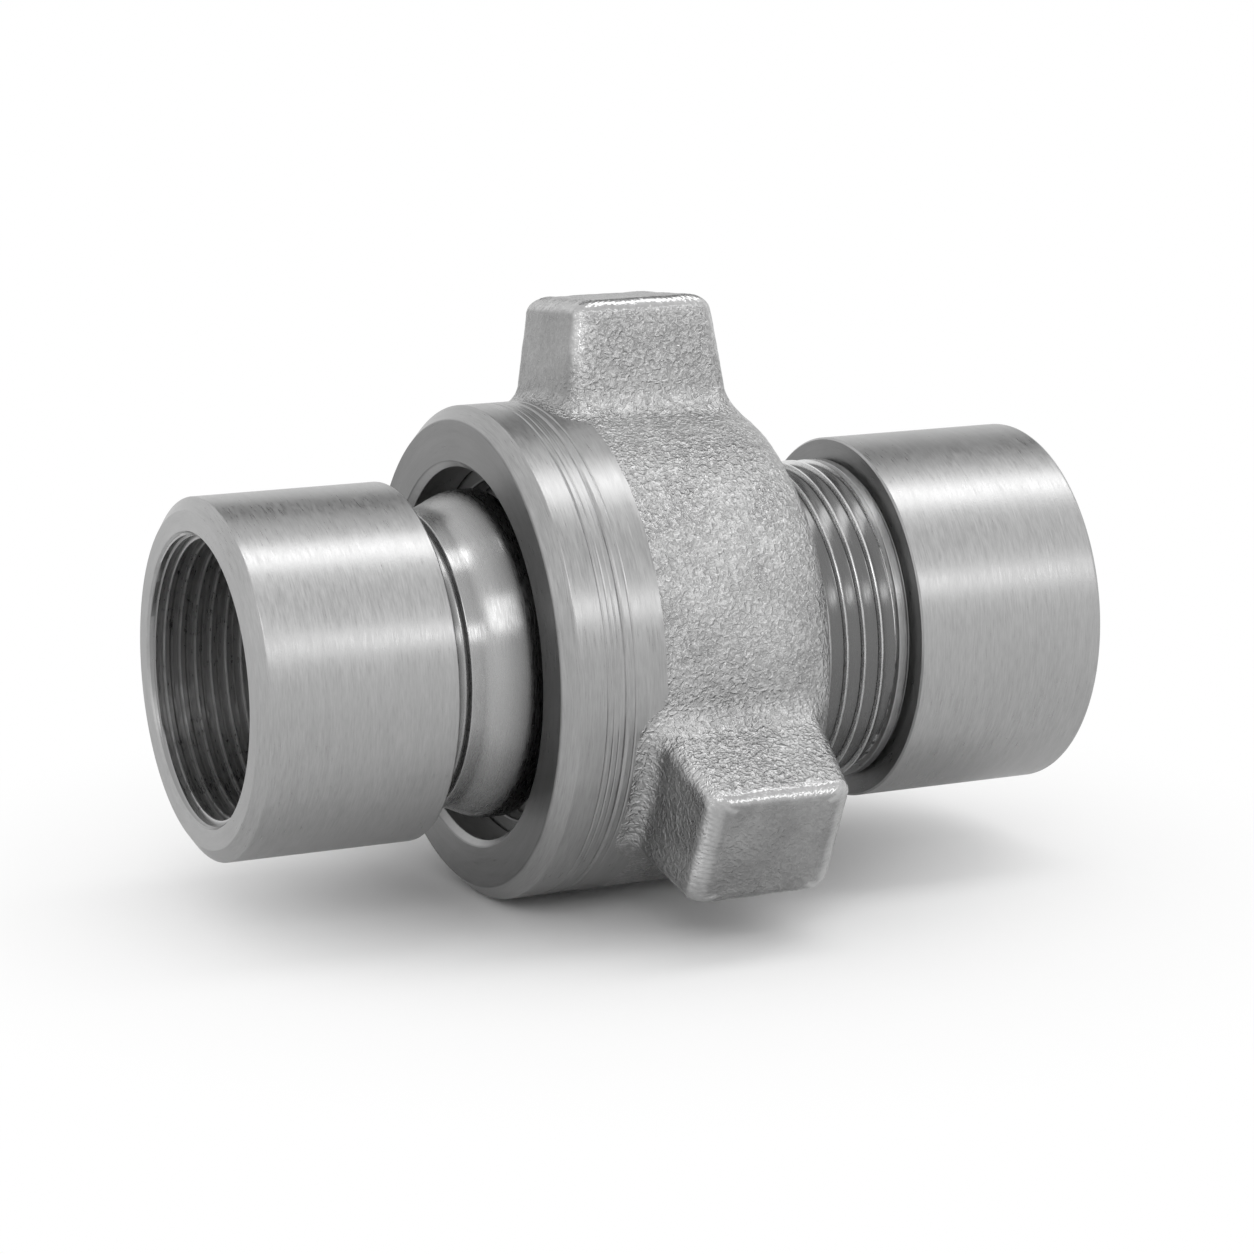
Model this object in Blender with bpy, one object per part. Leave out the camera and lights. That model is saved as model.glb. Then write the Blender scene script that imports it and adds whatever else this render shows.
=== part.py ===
"""Threaded hammer union for pump and drilling lines, partly made up.

The union lies along X, with +Z up. The male sub is on the left, the wing nut
in the middle and the female sub on the right. Each piece is built about the
union's axis, with x = 0 at the female sub's shoulder. An empty then carries
them all so that the origin is the middle of the footprint, at floor level.
Lengths are in metres.
"""
import math

import bmesh
import bpy
from mathutils import Vector

# Pipe line that the union joins, and the socket that each pipe screws into
FLOW_BORE_RADIUS = 0.0222
SOCKET_STEP = 0.0058
SOCKET_MOUTH_FLARE = 0.0014
SOCKET_DEPTH = 0.0380

# Edge that every turned shoulder has
EDGE_BREAK = 0.0006

# Room between pieces that touch
SEAT_CLEARANCE = 0.0003

# Union thread, a shallow trapezoid with a narrow crest
THREAD_PITCH = 0.0040
THREAD_DEPTH = 0.0013
THREAD_CREST_WIDTH = 0.0010
THREAD_FLANK_LENGTH = 0.0004
THREAD_PHASE_X = -0.0010
THREAD_SNAP = 0.00002

# Female sub, to the right of x = 0 its body and to the left its threaded nose
FEMALE_FACE_WIDTH = 0.0074
FEMALE_BODY_LENGTH = 0.0428
FEMALE_END_CHAMFER = 0.0013
FEMALE_NOSE_LENGTH = 0.0384
NOSE_WALL = 0.0023
NOSE_CHAMFER = 0.0020
RELIEF_WIDTH = 0.0016

# Seal ring recess and conical seat in the female sub's mouth
SEAL_SECTION = 0.0033
SEAL_RECESS_DEPTH = 0.0052
SEAT_HALF_ANGLE = math.radians(30)

# Male sub
MALE_FACE_WIDTH = 0.0044
MALE_BODY_LENGTH = 0.0412
MALE_END_CHAMFER_LENGTH = 0.0019
MALE_END_CHAMFER_HEIGHT = 0.0026
NECK_WIDTH = 0.0048
NECK_FILLET = 0.0016
SHANK_WALL = 0.0066
DRUM_LAND_RISE = 0.0017
DRUM_LAND_LENGTH = 0.0030
DRUM_FLARE_RISE = 0.0030
DRUM_FLARE_LENGTH = 0.0095
DRUM_LENGTH = 0.0170
DRUM_BACK_ROUND = 0.0012
DRUM_REACH_INTO_NUT = 0.0057
FLANGE_OVERHANG = 0.0037
FLANGE_THICKNESS = 0.0060
FLANGE_CHAMFER = 0.0008
FLANGE_FILLET = 0.0010
BALL_NECK_WALL = 0.0048
BALL_NECK_LENGTH = 0.0045
BALL_CROWN = 0.0010
BALL_TIP_WALL = 0.0013

# Travel left before the ball seats, counted in turns of the nut
TURNS_TO_TIGHT = 4

# Wing nut
NUT_LENGTH = 0.0606
NUT_WALL = 0.0127
NUT_BACK_OFFSET = 0.0251
NUT_BORE_ROOM = 0.0005
NUT_MOUTH_CHAMFER = 0.0014
NUT_FACE_CHAMFER_LENGTH = 0.0030
NUT_FACE_CHAMFER_HEIGHT = 0.0032
NUT_BACK_DROP = 0.0063
NUT_BACK_ROUND_LENGTH = 0.0170
NUT_BACK_ROUNDNESS = 2.2
NUT_LIP_LENGTH = 0.0093
NUT_THREAD_LENGTH = 0.0240
NUT_THREAD_ENTRY = 0.0014
NUT_CHAMBER_FLOAT = 0.0014

# Wings that are struck with a hammer
WING_COUNT = 3
WING_HEIGHT = 0.0201
WING_TIP_LENGTH = 0.0320
WING_TIP_WIDTH = 0.0272
WING_BACK_MARGIN = 0.0068
WING_END_DRAFT = math.radians(5.5)
WING_SIDE_DRAFT = math.radians(3.5)
WING_ROOT_FILLET = 0.0045
WING_CORNER_RADIUS = 0.0038
WING_EDGE_HEIGHT = 0.0038
WING_END_EDGE = 0.0055
WING_SIDE_EDGE = 0.0028
WING_LEAST_CORNER = 0.0003
WING_SINK = 0.0004
WING_TOE_ANGLE = math.radians(20)

# Retainer in the nut: segments round the shank, held by a split ring
SEGMENT_COUNT = 3
SEGMENT_THICKNESS = 0.0085
SEGMENT_GAP = 0.0023
SEGMENT_EDGE = 0.0005
RING_THICKNESS = 0.0040
RING_WIDTH = 0.0058
RING_BITE = 0.0026
RING_SPLIT = 0.0100
RING_EDGE = 0.0004
RING_GROOVE_FLOAT = 0.0006

# Places of the outline points on crowned and rounded stretches
DRUM_FLARE_PLACE_SHARES = (0, 0.2, 0.4, 0.6, 0.8, 1)
NUT_BACK_PLACE_SHARES = (1, 0.97, 0.9, 0.75, 0.5, 0)
WING_SIDE_PLACE_SHARES = (0.25, 0.5, 0.75)
SEAL_LIP_SHARE = 1 / 3

# Fineness of the round surfaces
ROUND_STEPS = 42
ARC_STEPS = 3
BALL_STEPS = 5
SEGMENT_STEPS = 12
SHARP_ANGLE = math.radians(32)

# Radii, each built up from the one inside it
SOCKET_RADIUS = FLOW_BORE_RADIUS + SOCKET_STEP
SOCKET_MOUTH_RADIUS = SOCKET_RADIUS + SOCKET_MOUTH_FLARE
FEMALE_BODY_RADIUS = SOCKET_MOUTH_RADIUS + FEMALE_FACE_WIDTH + FEMALE_END_CHAMFER
MALE_BODY_RADIUS = SOCKET_MOUTH_RADIUS + MALE_FACE_WIDTH + MALE_END_CHAMFER_HEIGHT
BALL_TIP_RADIUS = FLOW_BORE_RADIUS + BALL_TIP_WALL
BALL_NECK_RADIUS = FLOW_BORE_RADIUS + BALL_NECK_WALL
BALL_RADIUS = BALL_NECK_RADIUS + BALL_CROWN
SHANK_RADIUS = FLOW_BORE_RADIUS + SHANK_WALL
SEAL_RECESS_RADIUS = BALL_NECK_RADIUS + SEAL_SECTION
THREAD_ROOT_RADIUS = SEAL_RECESS_RADIUS + NOSE_WALL
THREAD_CREST_RADIUS = THREAD_ROOT_RADIUS + THREAD_DEPTH
NUT_THREAD_MINOR = THREAD_ROOT_RADIUS + SEAT_CLEARANCE
NUT_THREAD_MAJOR = THREAD_CREST_RADIUS + SEAT_CLEARANCE
FLANGE_RADIUS = THREAD_CREST_RADIUS + FLANGE_OVERHANG
NUT_BORE_RADIUS = FLANGE_RADIUS + NUT_BORE_ROOM
NUT_RADIUS = NUT_BORE_RADIUS + NUT_WALL
NUT_BACK_RADIUS = NUT_RADIUS - NUT_BACK_DROP
WING_TIP_RADIUS = NUT_RADIUS + WING_HEIGHT

# Places along the axis that more than one piece shares
NUT_BACK_X = -NUT_BACK_OFFSET
NUT_FRONT_X = NUT_BACK_X - NUT_LENGTH
GROOVE_FRONT_X = NUT_FRONT_X + NUT_LIP_LENGTH
RING_FRONT_X = GROOVE_FRONT_X + SEAT_CLEARANCE
RING_BACK_X = RING_FRONT_X + RING_THICKNESS
GROOVE_BACK_X = RING_BACK_X + RING_GROOVE_FLOAT
SEGMENT_FRONT_X = RING_BACK_X + SEAT_CLEARANCE
SEGMENT_BACK_X = SEGMENT_FRONT_X + SEGMENT_THICKNESS
FLANGE_FRONT_X = SEGMENT_BACK_X + SEAT_CLEARANCE
FLANGE_BACK_X = FLANGE_FRONT_X + FLANGE_THICKNESS
CHAMBER_END_X = FLANGE_BACK_X + NUT_CHAMBER_FLOAT
BALL_TOP_X = FLANGE_BACK_X + BALL_NECK_LENGTH
BALL_CENTRE_X = BALL_TOP_X - math.sqrt(BALL_RADIUS ** 2 - BALL_NECK_RADIUS ** 2)
BALL_TIP_X = BALL_CENTRE_X + math.sqrt(BALL_RADIUS ** 2 - BALL_TIP_RADIUS ** 2)
NOSE_X = -FEMALE_NOSE_LENGTH
DRUM_BACK_X = NUT_FRONT_X + DRUM_REACH_INTO_NUT
DRUM_FRONT_X = DRUM_BACK_X - DRUM_LENGTH
MALE_BODY_BACK_X = DRUM_FRONT_X - NECK_WIDTH
MALE_END_X = MALE_BODY_BACK_X - MALE_BODY_LENGTH
WING_CENTRE_X = NUT_BACK_X - WING_BACK_MARGIN - WING_TIP_LENGTH / 2

# Seat cone, tangent to the ball when the nut has made its last turn
TIGHT_TRAVEL = TURNS_TO_TIGHT * THREAD_PITCH
SEATED_BALL_CENTRE_X = BALL_CENTRE_X + TIGHT_TRAVEL
SEAT_GAP_ALONG_AXIS = SEAT_CLEARANCE / math.sin(SEAT_HALF_ANGLE)
SEAT_TOUCH_X = SEATED_BALL_CENTRE_X + SEAT_GAP_ALONG_AXIS + BALL_RADIUS * math.sin(SEAT_HALF_ANGLE)
SEAT_TOUCH_RADIUS = BALL_RADIUS * math.cos(SEAT_HALF_ANGLE)


def arc(centre_x, centre_r, radius, start_deg, end_deg, steps):
    """Points of a round stretch of an outline; angles run from +x towards +r."""
    points = []
    for step in range(steps + 1):
        angle = math.radians(start_deg + (end_deg - start_deg) * step / steps)
        points.append((centre_x + radius * math.cos(angle), centre_r + radius * math.sin(angle)))
    return points


def round_share(distance_share, roundness):
    """Height share of a rounded hump at a share of its half length."""
    return (1 - distance_share ** roundness) ** (1 / roundness)


def on_axis(x, radius, angle):
    """Point at a distance from the union's axis, turned from +Y towards +Z."""
    return Vector((x, radius * math.cos(angle), radius * math.sin(angle)))


def finish(bm, name, material):
    """Turn a closed bmesh into a named, shaded object."""
    bmesh.ops.recalc_face_normals(bm, faces=bm.faces)
    bmesh.ops.triangulate(bm, faces=bm.faces)
    mesh = bpy.data.meshes.new(name)
    bm.to_mesh(mesh)
    bm.free()
    mesh.shade_smooth()
    mesh.set_sharp_from_angle(angle=SHARP_ANGLE)
    mesh.materials.append(material)
    piece = bpy.data.objects.new(name, mesh)
    bpy.context.collection.objects.link(piece)
    return piece


def steel(name, shade, roughness):
    """Bare steel of one finish."""
    return surface(name, (shade, shade, shade), roughness, metallic=1.0)


def surface(name, colour, roughness, metallic):
    """Principled material of one colour."""
    material = bpy.data.materials.new(name)
    material.use_nodes = True
    shader = material.node_tree.nodes["Principled BSDF"]
    shader.inputs["Base Color"].default_value = (*colour, 1.0)
    shader.inputs["Roughness"].default_value = roughness
    shader.inputs["Metallic"].default_value = metallic
    return material


def turn(outline, name, material):
    """Spin a closed outline of (x, radius) points right round the axis."""
    bm = bmesh.new()
    verts = [bm.verts.new(on_axis(x, radius, 0)) for x, radius in outline]
    edges = [bm.edges.new((verts[i - 1], verts[i])) for i in range(len(verts))]
    bmesh.ops.spin(bm, geom=verts + edges, cent=(0, 0, 0), axis=(1, 0, 0), angle=math.tau,
                   steps=ROUND_STEPS, use_merge=True)
    return finish(bm, name, material)


def turn_part(outline, name, material, start, end, steps):
    """Sweep a closed outline round part of the circle and cap both ends."""
    bm = bmesh.new()
    rings = []
    for step in range(steps + 1):
        angle = start + (end - start) * step / steps
        rings.append([bm.verts.new(on_axis(x, radius, angle)) for x, radius in outline])
    skin_between(bm, rings)
    bm.faces.new(rings[0])
    bm.faces.new(rings[-1])
    return finish(bm, name, material)


def skin_between(bm, rings):
    """Join each ring of points to the next with quads."""
    for ring, following in zip(rings, rings[1:]):
        for i in range(len(ring)):
            bm.faces.new((ring[i - 1], ring[i], following[i], following[i - 1]))


def thread_rows(angle, profile, start, end, limit):
    """Outline points of a right-hand thread on one side of the axis.

    profile holds the corners of one pitch as (offset along x, radius). start
    and end are the (x, radius) points where the thread stops, and limit gives
    the radius that a chamfer there allows.
    """
    rows = []
    first_turn = math.floor((start[0] - THREAD_PHASE_X) / THREAD_PITCH) - 2
    last_turn = math.ceil((end[0] - THREAD_PHASE_X) / THREAD_PITCH) + 2
    for turn_number in range(first_turn, last_turn):
        for offset, radius in profile:
            x = THREAD_PHASE_X + THREAD_PITCH * (turn_number + angle / math.tau) + offset
            if x < start[0] + THREAD_SNAP:
                rows.append(start)
            elif x > end[0] - THREAD_SNAP:
                rows.append(end)
            else:
                rows.append((x, limit(x, radius)))
    return rows


def turn_threaded(before, after, rows_at, name, material):
    """Spin an outline whose thread corners climb by one pitch in each turn."""
    bm = bmesh.new()
    known = {}

    def vertex(step, point):
        key = (step % ROUND_STEPS, round(point[0], 8), round(point[1], 8))
        if key not in known:
            angle = math.tau * (step % ROUND_STEPS) / ROUND_STEPS
            known[key] = bm.verts.new(on_axis(point[0], point[1], angle))
        return known[key]

    columns = []
    for step in range(ROUND_STEPS + 1):
        outline = before + rows_at(math.tau * step / ROUND_STEPS) + after
        columns.append([vertex(step, point) for point in outline])
    for column, following in zip(columns, columns[1:]):
        for i in range(len(column)):
            corners = [column[i - 1], column[i], following[i], following[i - 1]]
            distinct = list(dict.fromkeys(corners))
            if len(distinct) > 2:
                bm.faces.new(distinct)
    return finish(bm, name, material)


def crest_half_width(radius):
    """Half width of the male thread's ridge at a radius."""
    below_crest = THREAD_CREST_RADIUS - radius
    return THREAD_CREST_WIDTH / 2 + THREAD_FLANK_LENGTH * below_crest / THREAD_DEPTH


def socket_outline(end_x, inward):
    """Bore, drill cone and socket from the flow bore out to an end face."""
    bottom_x = end_x + inward * SOCKET_DEPTH
    return [
        (bottom_x + inward * SOCKET_STEP, FLOW_BORE_RADIUS),
        (bottom_x, SOCKET_RADIUS),
        (end_x + inward * SOCKET_MOUTH_FLARE, SOCKET_RADIUS),
        (end_x, SOCKET_MOUTH_RADIUS),
    ]


def male_outline():
    """Section of the male sub, from the end face along its outside and back."""
    points = [
        (MALE_END_X, MALE_BODY_RADIUS - MALE_END_CHAMFER_HEIGHT),
        (MALE_END_X + MALE_END_CHAMFER_LENGTH, MALE_BODY_RADIUS),
        (MALE_BODY_BACK_X - EDGE_BREAK, MALE_BODY_RADIUS),
        (MALE_BODY_BACK_X, MALE_BODY_RADIUS - EDGE_BREAK),
    ]
    points += arc(MALE_BODY_BACK_X + NECK_FILLET, SHANK_RADIUS + NECK_FILLET, NECK_FILLET, 180, 270,
                  ARC_STEPS)
    points += drum_outline()
    points += arc(FLANGE_FRONT_X - FLANGE_FILLET, SHANK_RADIUS + FLANGE_FILLET, FLANGE_FILLET, 270, 360,
                  ARC_STEPS)
    points += [
        (FLANGE_FRONT_X, FLANGE_RADIUS - FLANGE_CHAMFER),
        (FLANGE_FRONT_X + FLANGE_CHAMFER, FLANGE_RADIUS),
        (FLANGE_BACK_X - FLANGE_CHAMFER, FLANGE_RADIUS),
        (FLANGE_BACK_X, FLANGE_RADIUS - FLANGE_CHAMFER),
    ]
    points += arc(FLANGE_BACK_X + FLANGE_FILLET, BALL_NECK_RADIUS + FLANGE_FILLET, FLANGE_FILLET, 180, 270,
                  ARC_STEPS)
    ball_start = math.degrees(math.acos((BALL_TOP_X - BALL_CENTRE_X) / BALL_RADIUS))
    ball_end = math.degrees(math.acos((BALL_TIP_X - BALL_CENTRE_X) / BALL_RADIUS))
    points += arc(BALL_CENTRE_X, 0, BALL_RADIUS, ball_start, ball_end, BALL_STEPS)
    points += [
        (BALL_TIP_X, FLOW_BORE_RADIUS + EDGE_BREAK),
        (BALL_TIP_X - EDGE_BREAK, FLOW_BORE_RADIUS),
    ]
    return points + socket_outline(MALE_END_X, 1)


def drum_outline():
    """Drum behind the neck: a land that flares smoothly up to the collar in the nut's mouth."""
    land_radius = SHANK_RADIUS + DRUM_LAND_RISE
    collar_radius = land_radius + DRUM_FLARE_RISE
    flare_x = DRUM_FRONT_X + DRUM_LAND_LENGTH
    points = [
        (DRUM_FRONT_X, SHANK_RADIUS),
        (DRUM_FRONT_X, land_radius - EDGE_BREAK),
        (DRUM_FRONT_X + EDGE_BREAK, land_radius),
    ]
    for share in DRUM_FLARE_PLACE_SHARES:
        eased = share * share * (3 - 2 * share)
        points.append((flare_x + DRUM_FLARE_LENGTH * share, land_radius + DRUM_FLARE_RISE * eased))
    points += arc(DRUM_BACK_X - DRUM_BACK_ROUND, collar_radius - DRUM_BACK_ROUND, DRUM_BACK_ROUND, 90, 0,
                  ARC_STEPS)
    points.append((DRUM_BACK_X, SHANK_RADIUS))
    return points


def build_male_sub(material):
    """Male sub: pipe end, neck, drum, retained flange and ball nose."""
    return turn(male_outline(), "male_sub", material)


def build_female_sub(material):
    """Female sub: threaded nose with a conical seat, shoulder and pipe end."""
    thread_start = (NOSE_X, THREAD_CREST_RADIUS - NOSE_CHAMFER)
    thread_end = (-RELIEF_WIDTH, THREAD_ROOT_RADIUS)
    half_crest = THREAD_CREST_WIDTH / 2
    profile = [
        (-half_crest - THREAD_FLANK_LENGTH, THREAD_ROOT_RADIUS),
        (-half_crest, THREAD_CREST_RADIUS),
        (half_crest, THREAD_CREST_RADIUS),
        (half_crest + THREAD_FLANK_LENGTH, THREAD_ROOT_RADIUS),
    ]

    def limit(x, radius):
        nose_limit = thread_start[1] + (x - NOSE_X)
        relief_limit = THREAD_ROOT_RADIUS + (thread_end[0] - x)
        return min(radius, nose_limit, relief_limit)

    def rows_at(angle):
        return thread_rows(angle, profile, thread_start, thread_end, limit)

    body_end_x = FEMALE_BODY_LENGTH
    mouth_radius = SEAT_TOUCH_RADIUS + (SEAT_TOUCH_X - NOSE_X - SEAL_RECESS_DEPTH) * math.tan(SEAT_HALF_ANGLE)
    seat_end_x = SEAT_TOUCH_X + (SEAT_TOUCH_RADIUS - FLOW_BORE_RADIUS) / math.tan(SEAT_HALF_ANGLE)
    before = [(NOSE_X, SEAL_RECESS_RADIUS)]
    after = [
        (0, THREAD_ROOT_RADIUS),
        (0, FEMALE_BODY_RADIUS - EDGE_BREAK),
        (EDGE_BREAK, FEMALE_BODY_RADIUS),
        (body_end_x - FEMALE_END_CHAMFER, FEMALE_BODY_RADIUS),
        (body_end_x, FEMALE_BODY_RADIUS - FEMALE_END_CHAMFER),
    ]
    after += list(reversed(socket_outline(body_end_x, -1)))
    after += [
        (seat_end_x, FLOW_BORE_RADIUS),
        (NOSE_X + SEAL_RECESS_DEPTH, mouth_radius),
        (NOSE_X + SEAL_RECESS_DEPTH, SEAL_RECESS_RADIUS),
    ]
    return turn_threaded(before, after, rows_at, "female_sub", material)


def build_seal_ring(material):
    """Lip seal ring in the female sub's mouth, at the size it is squeezed to."""
    outer = SEAL_RECESS_RADIUS - SEAT_CLEARANCE
    inner = BALL_NECK_RADIUS + SEAT_CLEARANCE
    back_x = NOSE_X + SEAL_RECESS_DEPTH - SEAT_CLEARANCE
    lip = (outer - inner) * SEAL_LIP_SHARE
    outline = [
        (NOSE_X, outer - lip),
        (NOSE_X + lip, outer),
        (back_x, outer),
        (back_x, inner),
        (NOSE_X + lip, inner),
        (NOSE_X, inner + lip),
    ]
    return turn(outline, "seal_ring", material)


def nut_back_radius(x):
    """Radius of the nut's forged outside at a place along the axis."""
    share = max(0, (x - NUT_BACK_X + NUT_BACK_ROUND_LENGTH) / NUT_BACK_ROUND_LENGTH)
    return NUT_BACK_RADIUS + NUT_BACK_DROP * round_share(min(share, 1), NUT_BACK_ROUNDNESS)


def build_nut_ring(material):
    """Ring of the wing nut: lip, ring groove, flange chamber and thread."""
    thread_stop_x = NUT_BACK_X - NUT_THREAD_LENGTH
    entry_radius = NUT_THREAD_MINOR + NUT_THREAD_ENTRY
    thread_start = (thread_stop_x, NUT_THREAD_MAJOR)
    thread_end = (NUT_BACK_X, entry_radius)
    half_minor = crest_half_width(NUT_THREAD_MINOR) + SEAT_CLEARANCE
    half_major = crest_half_width(NUT_THREAD_MAJOR) + SEAT_CLEARANCE
    profile = [
        (-half_minor, NUT_THREAD_MINOR),
        (-half_major, NUT_THREAD_MAJOR),
        (half_major, NUT_THREAD_MAJOR),
        (half_minor, NUT_THREAD_MINOR),
    ]

    def limit(x, radius):
        entry_limit = entry_radius - (NUT_BACK_X - x)
        relief_limit = NUT_THREAD_MAJOR - (x - thread_stop_x)
        return max(radius, entry_limit, relief_limit)

    def rows_at(angle):
        return thread_rows(angle, profile, thread_start, thread_end, limit)

    groove_radius = NUT_BORE_RADIUS + RING_BITE + SEAT_CLEARANCE
    face_radius = NUT_RADIUS - NUT_FACE_CHAMFER_HEIGHT
    before = [
        (NUT_FRONT_X, face_radius),
        (NUT_FRONT_X, NUT_BORE_RADIUS + NUT_MOUTH_CHAMFER),
        (NUT_FRONT_X + NUT_MOUTH_CHAMFER, NUT_BORE_RADIUS),
        (GROOVE_FRONT_X, NUT_BORE_RADIUS),
        (GROOVE_FRONT_X, groove_radius),
        (GROOVE_BACK_X, groove_radius),
        (GROOVE_BACK_X, NUT_BORE_RADIUS),
        (CHAMBER_END_X, NUT_BORE_RADIUS),
        (CHAMBER_END_X, NUT_THREAD_MAJOR),
    ]
    after = []
    for share in NUT_BACK_PLACE_SHARES:
        x = NUT_BACK_X - NUT_BACK_ROUND_LENGTH * (1 - share)
        after.append((x, nut_back_radius(x)))
    after.append((NUT_FRONT_X + NUT_FACE_CHAMFER_LENGTH, NUT_RADIUS))
    return turn_threaded(before, after, rows_at, "wing_nut", material)


def rounded_loop(half_length, half_width, corner):
    """Points round a rectangle with rounded corners, denser where it bends."""
    points = []
    centres = [
        (half_length - corner, half_width - corner, 0),
        (-half_length + corner, half_width - corner, 90),
        (-half_length + corner, -half_width + corner, 180),
        (half_length - corner, -half_width + corner, 270),
    ]
    for index, (x, across, start) in enumerate(centres):
        points += arc(x, across, corner, start, start + 90, ARC_STEPS)
        following = centres[(index + 1) % len(centres)]
        last = points[-1]
        first = arc(following[0], following[1], corner, following[2], following[2] + 90, ARC_STEPS)[0]
        for share in WING_SIDE_PLACE_SHARES:
            points.append((last[0] + (first[0] - last[0]) * share, last[1] + (first[1] - last[1]) * share))
    return points


def wing_levels():
    """Loops of one wing, from its root inside the ring up to its tip.

    Each level is (growth at the ends, growth at the sides, share of the draft,
    height over the ring, share of the way to a flat loop, reach of that loop).
    """
    root_reach = (NUT_BORE_RADIUS + NUT_BACK_RADIUS) / 2
    toe_height = WING_ROOT_FILLET * (1 - math.cos(WING_TOE_ANGLE))
    toe_out = WING_ROOT_FILLET * (1 - math.sin(WING_TOE_ANGLE))
    toe_out += (WING_SINK + toe_height) / math.tan(WING_TOE_ANGLE)
    levels = [(0, 0, 1, 0, 1, root_reach), (toe_out, toe_out, 1, -WING_SINK, 0, 0)]
    for step in range(ARC_STEPS + 1):
        angle = WING_TOE_ANGLE + (math.pi / 2 - WING_TOE_ANGLE) * step / ARC_STEPS
        out = WING_ROOT_FILLET * (1 - math.sin(angle))
        levels.append((out, out, 1, WING_ROOT_FILLET * (1 - math.cos(angle)), 0, 0))
    for step in range(ARC_STEPS + 1):
        angle = math.pi / 2 * step / ARC_STEPS
        inward = 1 - math.cos(angle)
        reach = WING_TIP_RADIUS - WING_EDGE_HEIGHT * (1 - math.sin(angle))
        levels.append((-WING_END_EDGE * inward, -WING_SIDE_EDGE * inward, 0, 0, 1, reach))
    return levels


def wing_loop(level, direction):
    """Points of one loop of a wing that stands out along a direction."""
    end_growth, side_growth, draft_share, height, flat_share, flat_reach = level
    draft_height = draft_share * WING_HEIGHT
    half_length = WING_TIP_LENGTH / 2 + draft_height * math.tan(WING_END_DRAFT) + end_growth
    half_width = WING_TIP_WIDTH / 2 + draft_height * math.tan(WING_SIDE_DRAFT) + side_growth
    corner = max(WING_CORNER_RADIUS + side_growth, WING_LEAST_CORNER)
    loop = []
    for along, across in rounded_loop(half_length, half_width, corner):
        x = WING_CENTRE_X + along
        ring_reach = math.sqrt(nut_back_radius(x) ** 2 - across ** 2) + height
        reach = ring_reach + (flat_reach - ring_reach) * flat_share
        loop.append(on_axis(x, reach, direction) + on_axis(0, across, direction + math.pi / 2))
    return loop


def wing_lean():
    """Lean of the top wing that brings the back wing's rounded corner to the floor."""
    corner_radius = min(WING_EDGE_HEIGHT, WING_SIDE_EDGE)
    corner_out = WING_TIP_RADIUS - corner_radius
    corner_across = WING_TIP_WIDTH / 2 - corner_radius
    corner_reach = math.hypot(corner_out, corner_across)
    touch = math.acos((NUT_RADIUS - corner_radius) / corner_reach)
    return math.pi / WING_COUNT - math.atan2(corner_across, corner_out) - touch


def build_wing_nut(material):
    """Wing nut: the threaded ring with its wings grown out of it."""
    nut = build_nut_ring(material)
    bm = bmesh.new()
    for number in range(WING_COUNT):
        direction = math.pi / 2 - wing_lean() + math.tau * number / WING_COUNT
        rings = []
        for level in wing_levels():
            rings.append([bm.verts.new(point) for point in wing_loop(level, direction)])
        skin_between(bm, rings)
        bm.faces.new(rings[0])
        bm.faces.new(rings[-1])
    wings = finish(bm, "wings_guide", material)
    wings.hide_render = True
    wings.display_type = "WIRE"
    union = nut.modifiers.new("wings", "BOOLEAN")
    union.operation = "UNION"
    union.solver = "EXACT"
    union.object = wings
    return nut, wings


def build_segments(material):
    """Retainer segments that hug the shank between the split ring and the flange."""
    inner = SHANK_RADIUS + SEAT_CLEARANCE
    outer = NUT_BORE_RADIUS - SEAT_CLEARANCE
    outline = [
        (SEGMENT_FRONT_X, inner + SEGMENT_EDGE),
        (SEGMENT_FRONT_X, outer - SEGMENT_EDGE),
        (SEGMENT_FRONT_X + SEGMENT_EDGE, outer),
        (SEGMENT_BACK_X - SEGMENT_EDGE, outer),
        (SEGMENT_BACK_X, outer - SEGMENT_EDGE),
        (SEGMENT_BACK_X, inner + FLANGE_FILLET),
        (SEGMENT_BACK_X - FLANGE_FILLET, inner),
        (SEGMENT_FRONT_X + SEGMENT_EDGE, inner),
    ]
    gap_angle = SEGMENT_GAP / inner
    pieces = []
    for number in range(SEGMENT_COUNT):
        start = math.tau * number / SEGMENT_COUNT + gap_angle / 2
        end = math.tau * (number + 1) / SEGMENT_COUNT - gap_angle / 2
        name = f"retainer_segment_{number + 1}"
        pieces.append(turn_part(outline, name, material, start, end, SEGMENT_STEPS))
    return pieces


def build_snap_ring(material):
    """Split ring that springs out into the nut's groove."""
    outer = NUT_BORE_RADIUS + RING_BITE
    inner = outer - RING_WIDTH
    outline = [
        (RING_FRONT_X, inner + RING_EDGE),
        (RING_FRONT_X, outer - RING_EDGE),
        (RING_FRONT_X + RING_EDGE, outer),
        (RING_BACK_X - RING_EDGE, outer),
        (RING_BACK_X, outer - RING_EDGE),
        (RING_BACK_X, inner + RING_EDGE),
        (RING_BACK_X - RING_EDGE, inner),
        (RING_FRONT_X + RING_EDGE, inner),
    ]
    half_split = RING_SPLIT / outer / 2
    start = math.pi / 2 + half_split
    return turn_part(outline, "snap_ring", material, start, start + math.tau - 2 * half_split, ROUND_STEPS)


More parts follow.
